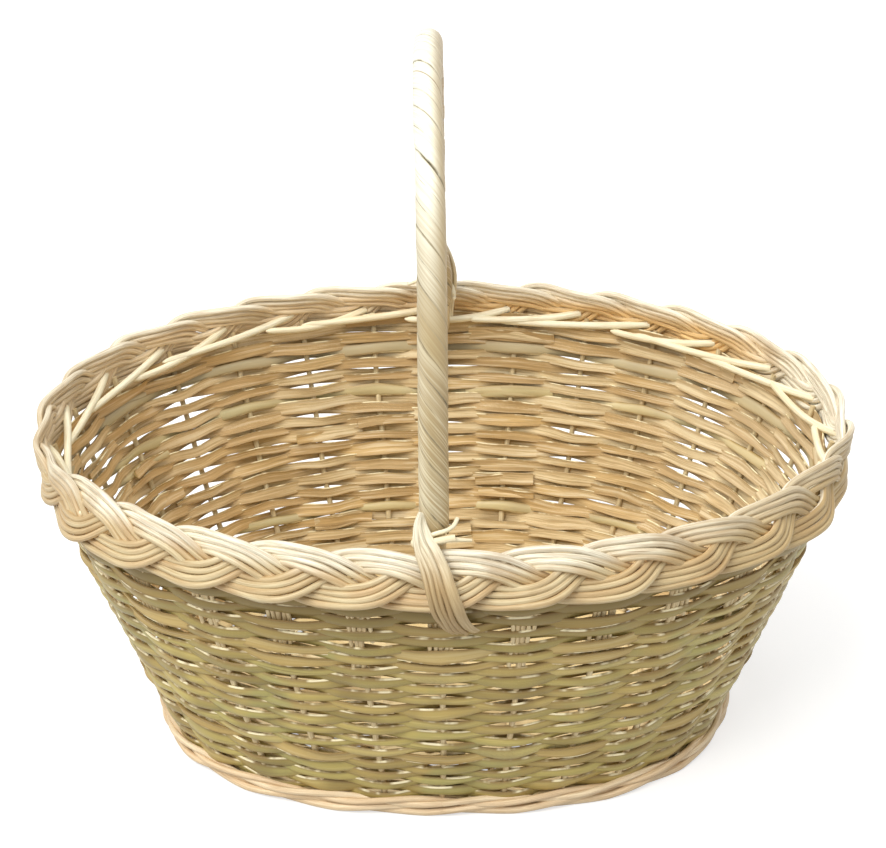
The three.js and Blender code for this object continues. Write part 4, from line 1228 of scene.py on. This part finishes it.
# %% Lashings
LASH_RODS = (
    (((8, -136, 179.5), (6, -140, 177.5), (3, -143, 177), (-2, -144.2, 176), (-7, -143, 173.5),
      (-11, -138.5, 170), (-12.3, -134, 168), (-9, -128.5, 168)), 1.05, 1.1),
    (((7, -146.6, 175), (1, -146.8, 174), (-4, -146, 172.3), (-8, -143.8, 169.3),
      (-11.4, -139, 166.5), (-12.5, -134, 165.5), (-9, -128.5, 166)), 1.7, 1.5),
    (((14.5, -142.5, 171.3), (10, -144, 172.4), (5, -144.6, 173), (-1, -143.5, 171)), 0.8, 1.5),
    (((-13, -147.5, 164.8), (-10.5, -148, 164.4), (-6, -148, 163)), 1.3, 1.3),
)
LASH_POINTS = 60
BACK_LASH_X = -10.4
BACK_LASH_Y = -136.5
FRONT_LEG = (HANDLE_FRONT_X, -HANDLE_FOOT_Y, 0)


def smooth_line(points, count):
    points = np.asarray(points, float)
    length = run_along(points)
    slopes = np.gradient(points, length, axis=0)
    at = np.linspace(0, length[-1], count)
    index = np.clip(np.searchsorted(length, at) - 1, 0, len(points) - 2)
    step = (length[index + 1] - length[index])[:, None]
    u = ((at - length[index]) / step[:, 0])[:, None]
    near_part = points[index] * (2 * u**3 - 3 * u**2 + 1)
    near_part = near_part + slopes[index] * step * (u**3 - 2 * u**2 + u)
    far_part = points[index + 1] * (3 * u**2 - 2 * u**3) + slopes[index + 1] * step * (u**3 - u**2)
    return near_part + far_part


def half_turn(vectors, side, shift=0.0):
    return vectors * (-1, -1, 1) + (shift, 0, 0) if side > 0 else vectors


def lash_paths(side):
    paths = []
    for order, (places, *radii) in enumerate(LASH_RODS if side < 0 else LASH_RODS[:3]):
        points = smooth_line(places, LASH_POINTS)
        radius = np.linspace(*radii, LASH_POINTS)
        if side > 0:
            points[:, 0] = np.maximum(points[:, 0], BACK_LASH_X)
            points[:, 1] = np.minimum(points[:, 1], BACK_LASH_Y)
        facing = half_turn((points - FRONT_LEG) * (1, 1, 0), side)
        points = half_turn(points, side, HANDLE_FRONT_X + HANDLE_BACK_X)
        paths.append(make_path(points, facing, radius, number=830.0 + order + 4 * side))
    return paths


for side, end in ((-1, "front"), (1, "back")):
    dress(f"handle_lash_{end}", "rods", lash_paths(side), pale_rod, "handle_skein")

# %% [markdown]
# ## Bundles that tie the handle to the border
# Four thin rods and one wide skein start together on the left of the leg, pass over the lashing,
# fan out across the border and are tucked into the wall below it on the right. At the back the
# bundle starts higher, and two more thin rods run down inside it.

# %% Border bundles
BUNDLE_LINE = (
    (-8.8, -140, 185.0), (-9.6, -142.5, 181), (-8.4, -147.8, 174.5), (-4.8, -153.5, 168.5),
    (-1.5, -160, 163), (0.8, -164.5, 156.5), (3.6, -165.2, 146), (8, -158, 133.5),
    (11.4, -150.5, 126.5),
)
BUNDLE_SPREAD = (0.12, 0.4, 0.7, 0.8, 0.92, 1.0, 0.9, 0.9, 0.95)
BUNDLE_PLACES = (-6.6, -4.2, -1.8, 0.5, 4.7)
BUNDLE_ROD_HALVES = (1.25, 1.25)
BUNDLE_SKEIN_HALVES = (2.9, 0.85)
BUNDLE_POINTS = 100
BUNDLE_SEEDS = (5000, 5050)
BUNDLE_BACK_RISE = 10.0
BUNDLE_BACK_IN = 3.6
BUNDLE_BACK_Z = (174, 13.5)
BUNDLE_BACK_RADIUS = 1.05
BUNDLE_BACK_RODS = (
    ((0.2, 139, 198), (3.3, 139.5, 191), (5.8, 140.5, 181), (6.1, 142, 173), (5.4, 144.5, 165),
     (4.4, 146.5, 157), (3.7, 148, 149)),
    ((-1.6, 139.5, 197), (1.4, 140, 190), (3.6, 141, 181), (4.2, 143, 173), (3.6, 145.5, 165),
     (3.0, 147.5, 157), (2.4, 149, 149)),
)


def bundle_paths(side):
    line = smooth_line(BUNDLE_LINE, BUNDLE_POINTS)
    raised = np.clip((line[:, 2] - BUNDLE_BACK_Z[0]) / BUNDLE_BACK_Z[1], 0, 1) * (side > 0)
    line = moved(line, (np.array([BUNDLE_BACK_IN, 0, BUNDLE_BACK_RISE]), raised))
    share = np.linspace(0, 1, BUNDLE_POINTS)
    width = np.interp(share, np.linspace(0, 1, len(BUNDLE_SPREAD)), BUNDLE_SPREAD)
    along = unit(np.gradient(line, axis=0))
    wide = square_to(along, RIGHTWARDS)
    thick = np.cross(along, wide)
    taper = np.clip(0.3 + share * 5, 0, 1)
    paths = []
    for rod, place in enumerate(BUNDLE_PLACES):
        flat = place == BUNDLE_PLACES[-1]
        sway = place * width + 0.25 * wander(share * 1.5, BUNDLE_SEEDS[0] + rod, 1.0, 2.0)
        lift = 0.2 * wander(share * 1.5, BUNDLE_SEEDS[1] + rod, 1.0, 2.0)
        lift = lift + (1 - width) * (1.5 if rod % 2 else -0.8)
        points = moved(line, (wide, sway), (thick, lift))
        points = half_turn(points, side, HANDLE_FRONT_X + HANDLE_BACK_X)
        halves = [half * taper for half in (BUNDLE_SKEIN_HALVES if flat else BUNDLE_ROD_HALVES)]
        bow, number = 0.5 if flat else 0.0, 850.0 + rod + 10 * side
        paths.append(make_path(points, half_turn(thick, side), *halves, bow=bow, number=number))
    for rod, places in enumerate(BUNDLE_BACK_RODS if side > 0 else ()):
        points = smooth_line(places, 40)
        paths.append(make_path(points, RIGHTWARDS, BUNDLE_BACK_RADIUS, number=880.0 + rod))
    return paths


for side, end in ((-1, "front"), (1, "back")):
    dress(f"border_bundle_{end}", "rods", bundle_paths(side), bundle_rod, "border_rod", sides=12)
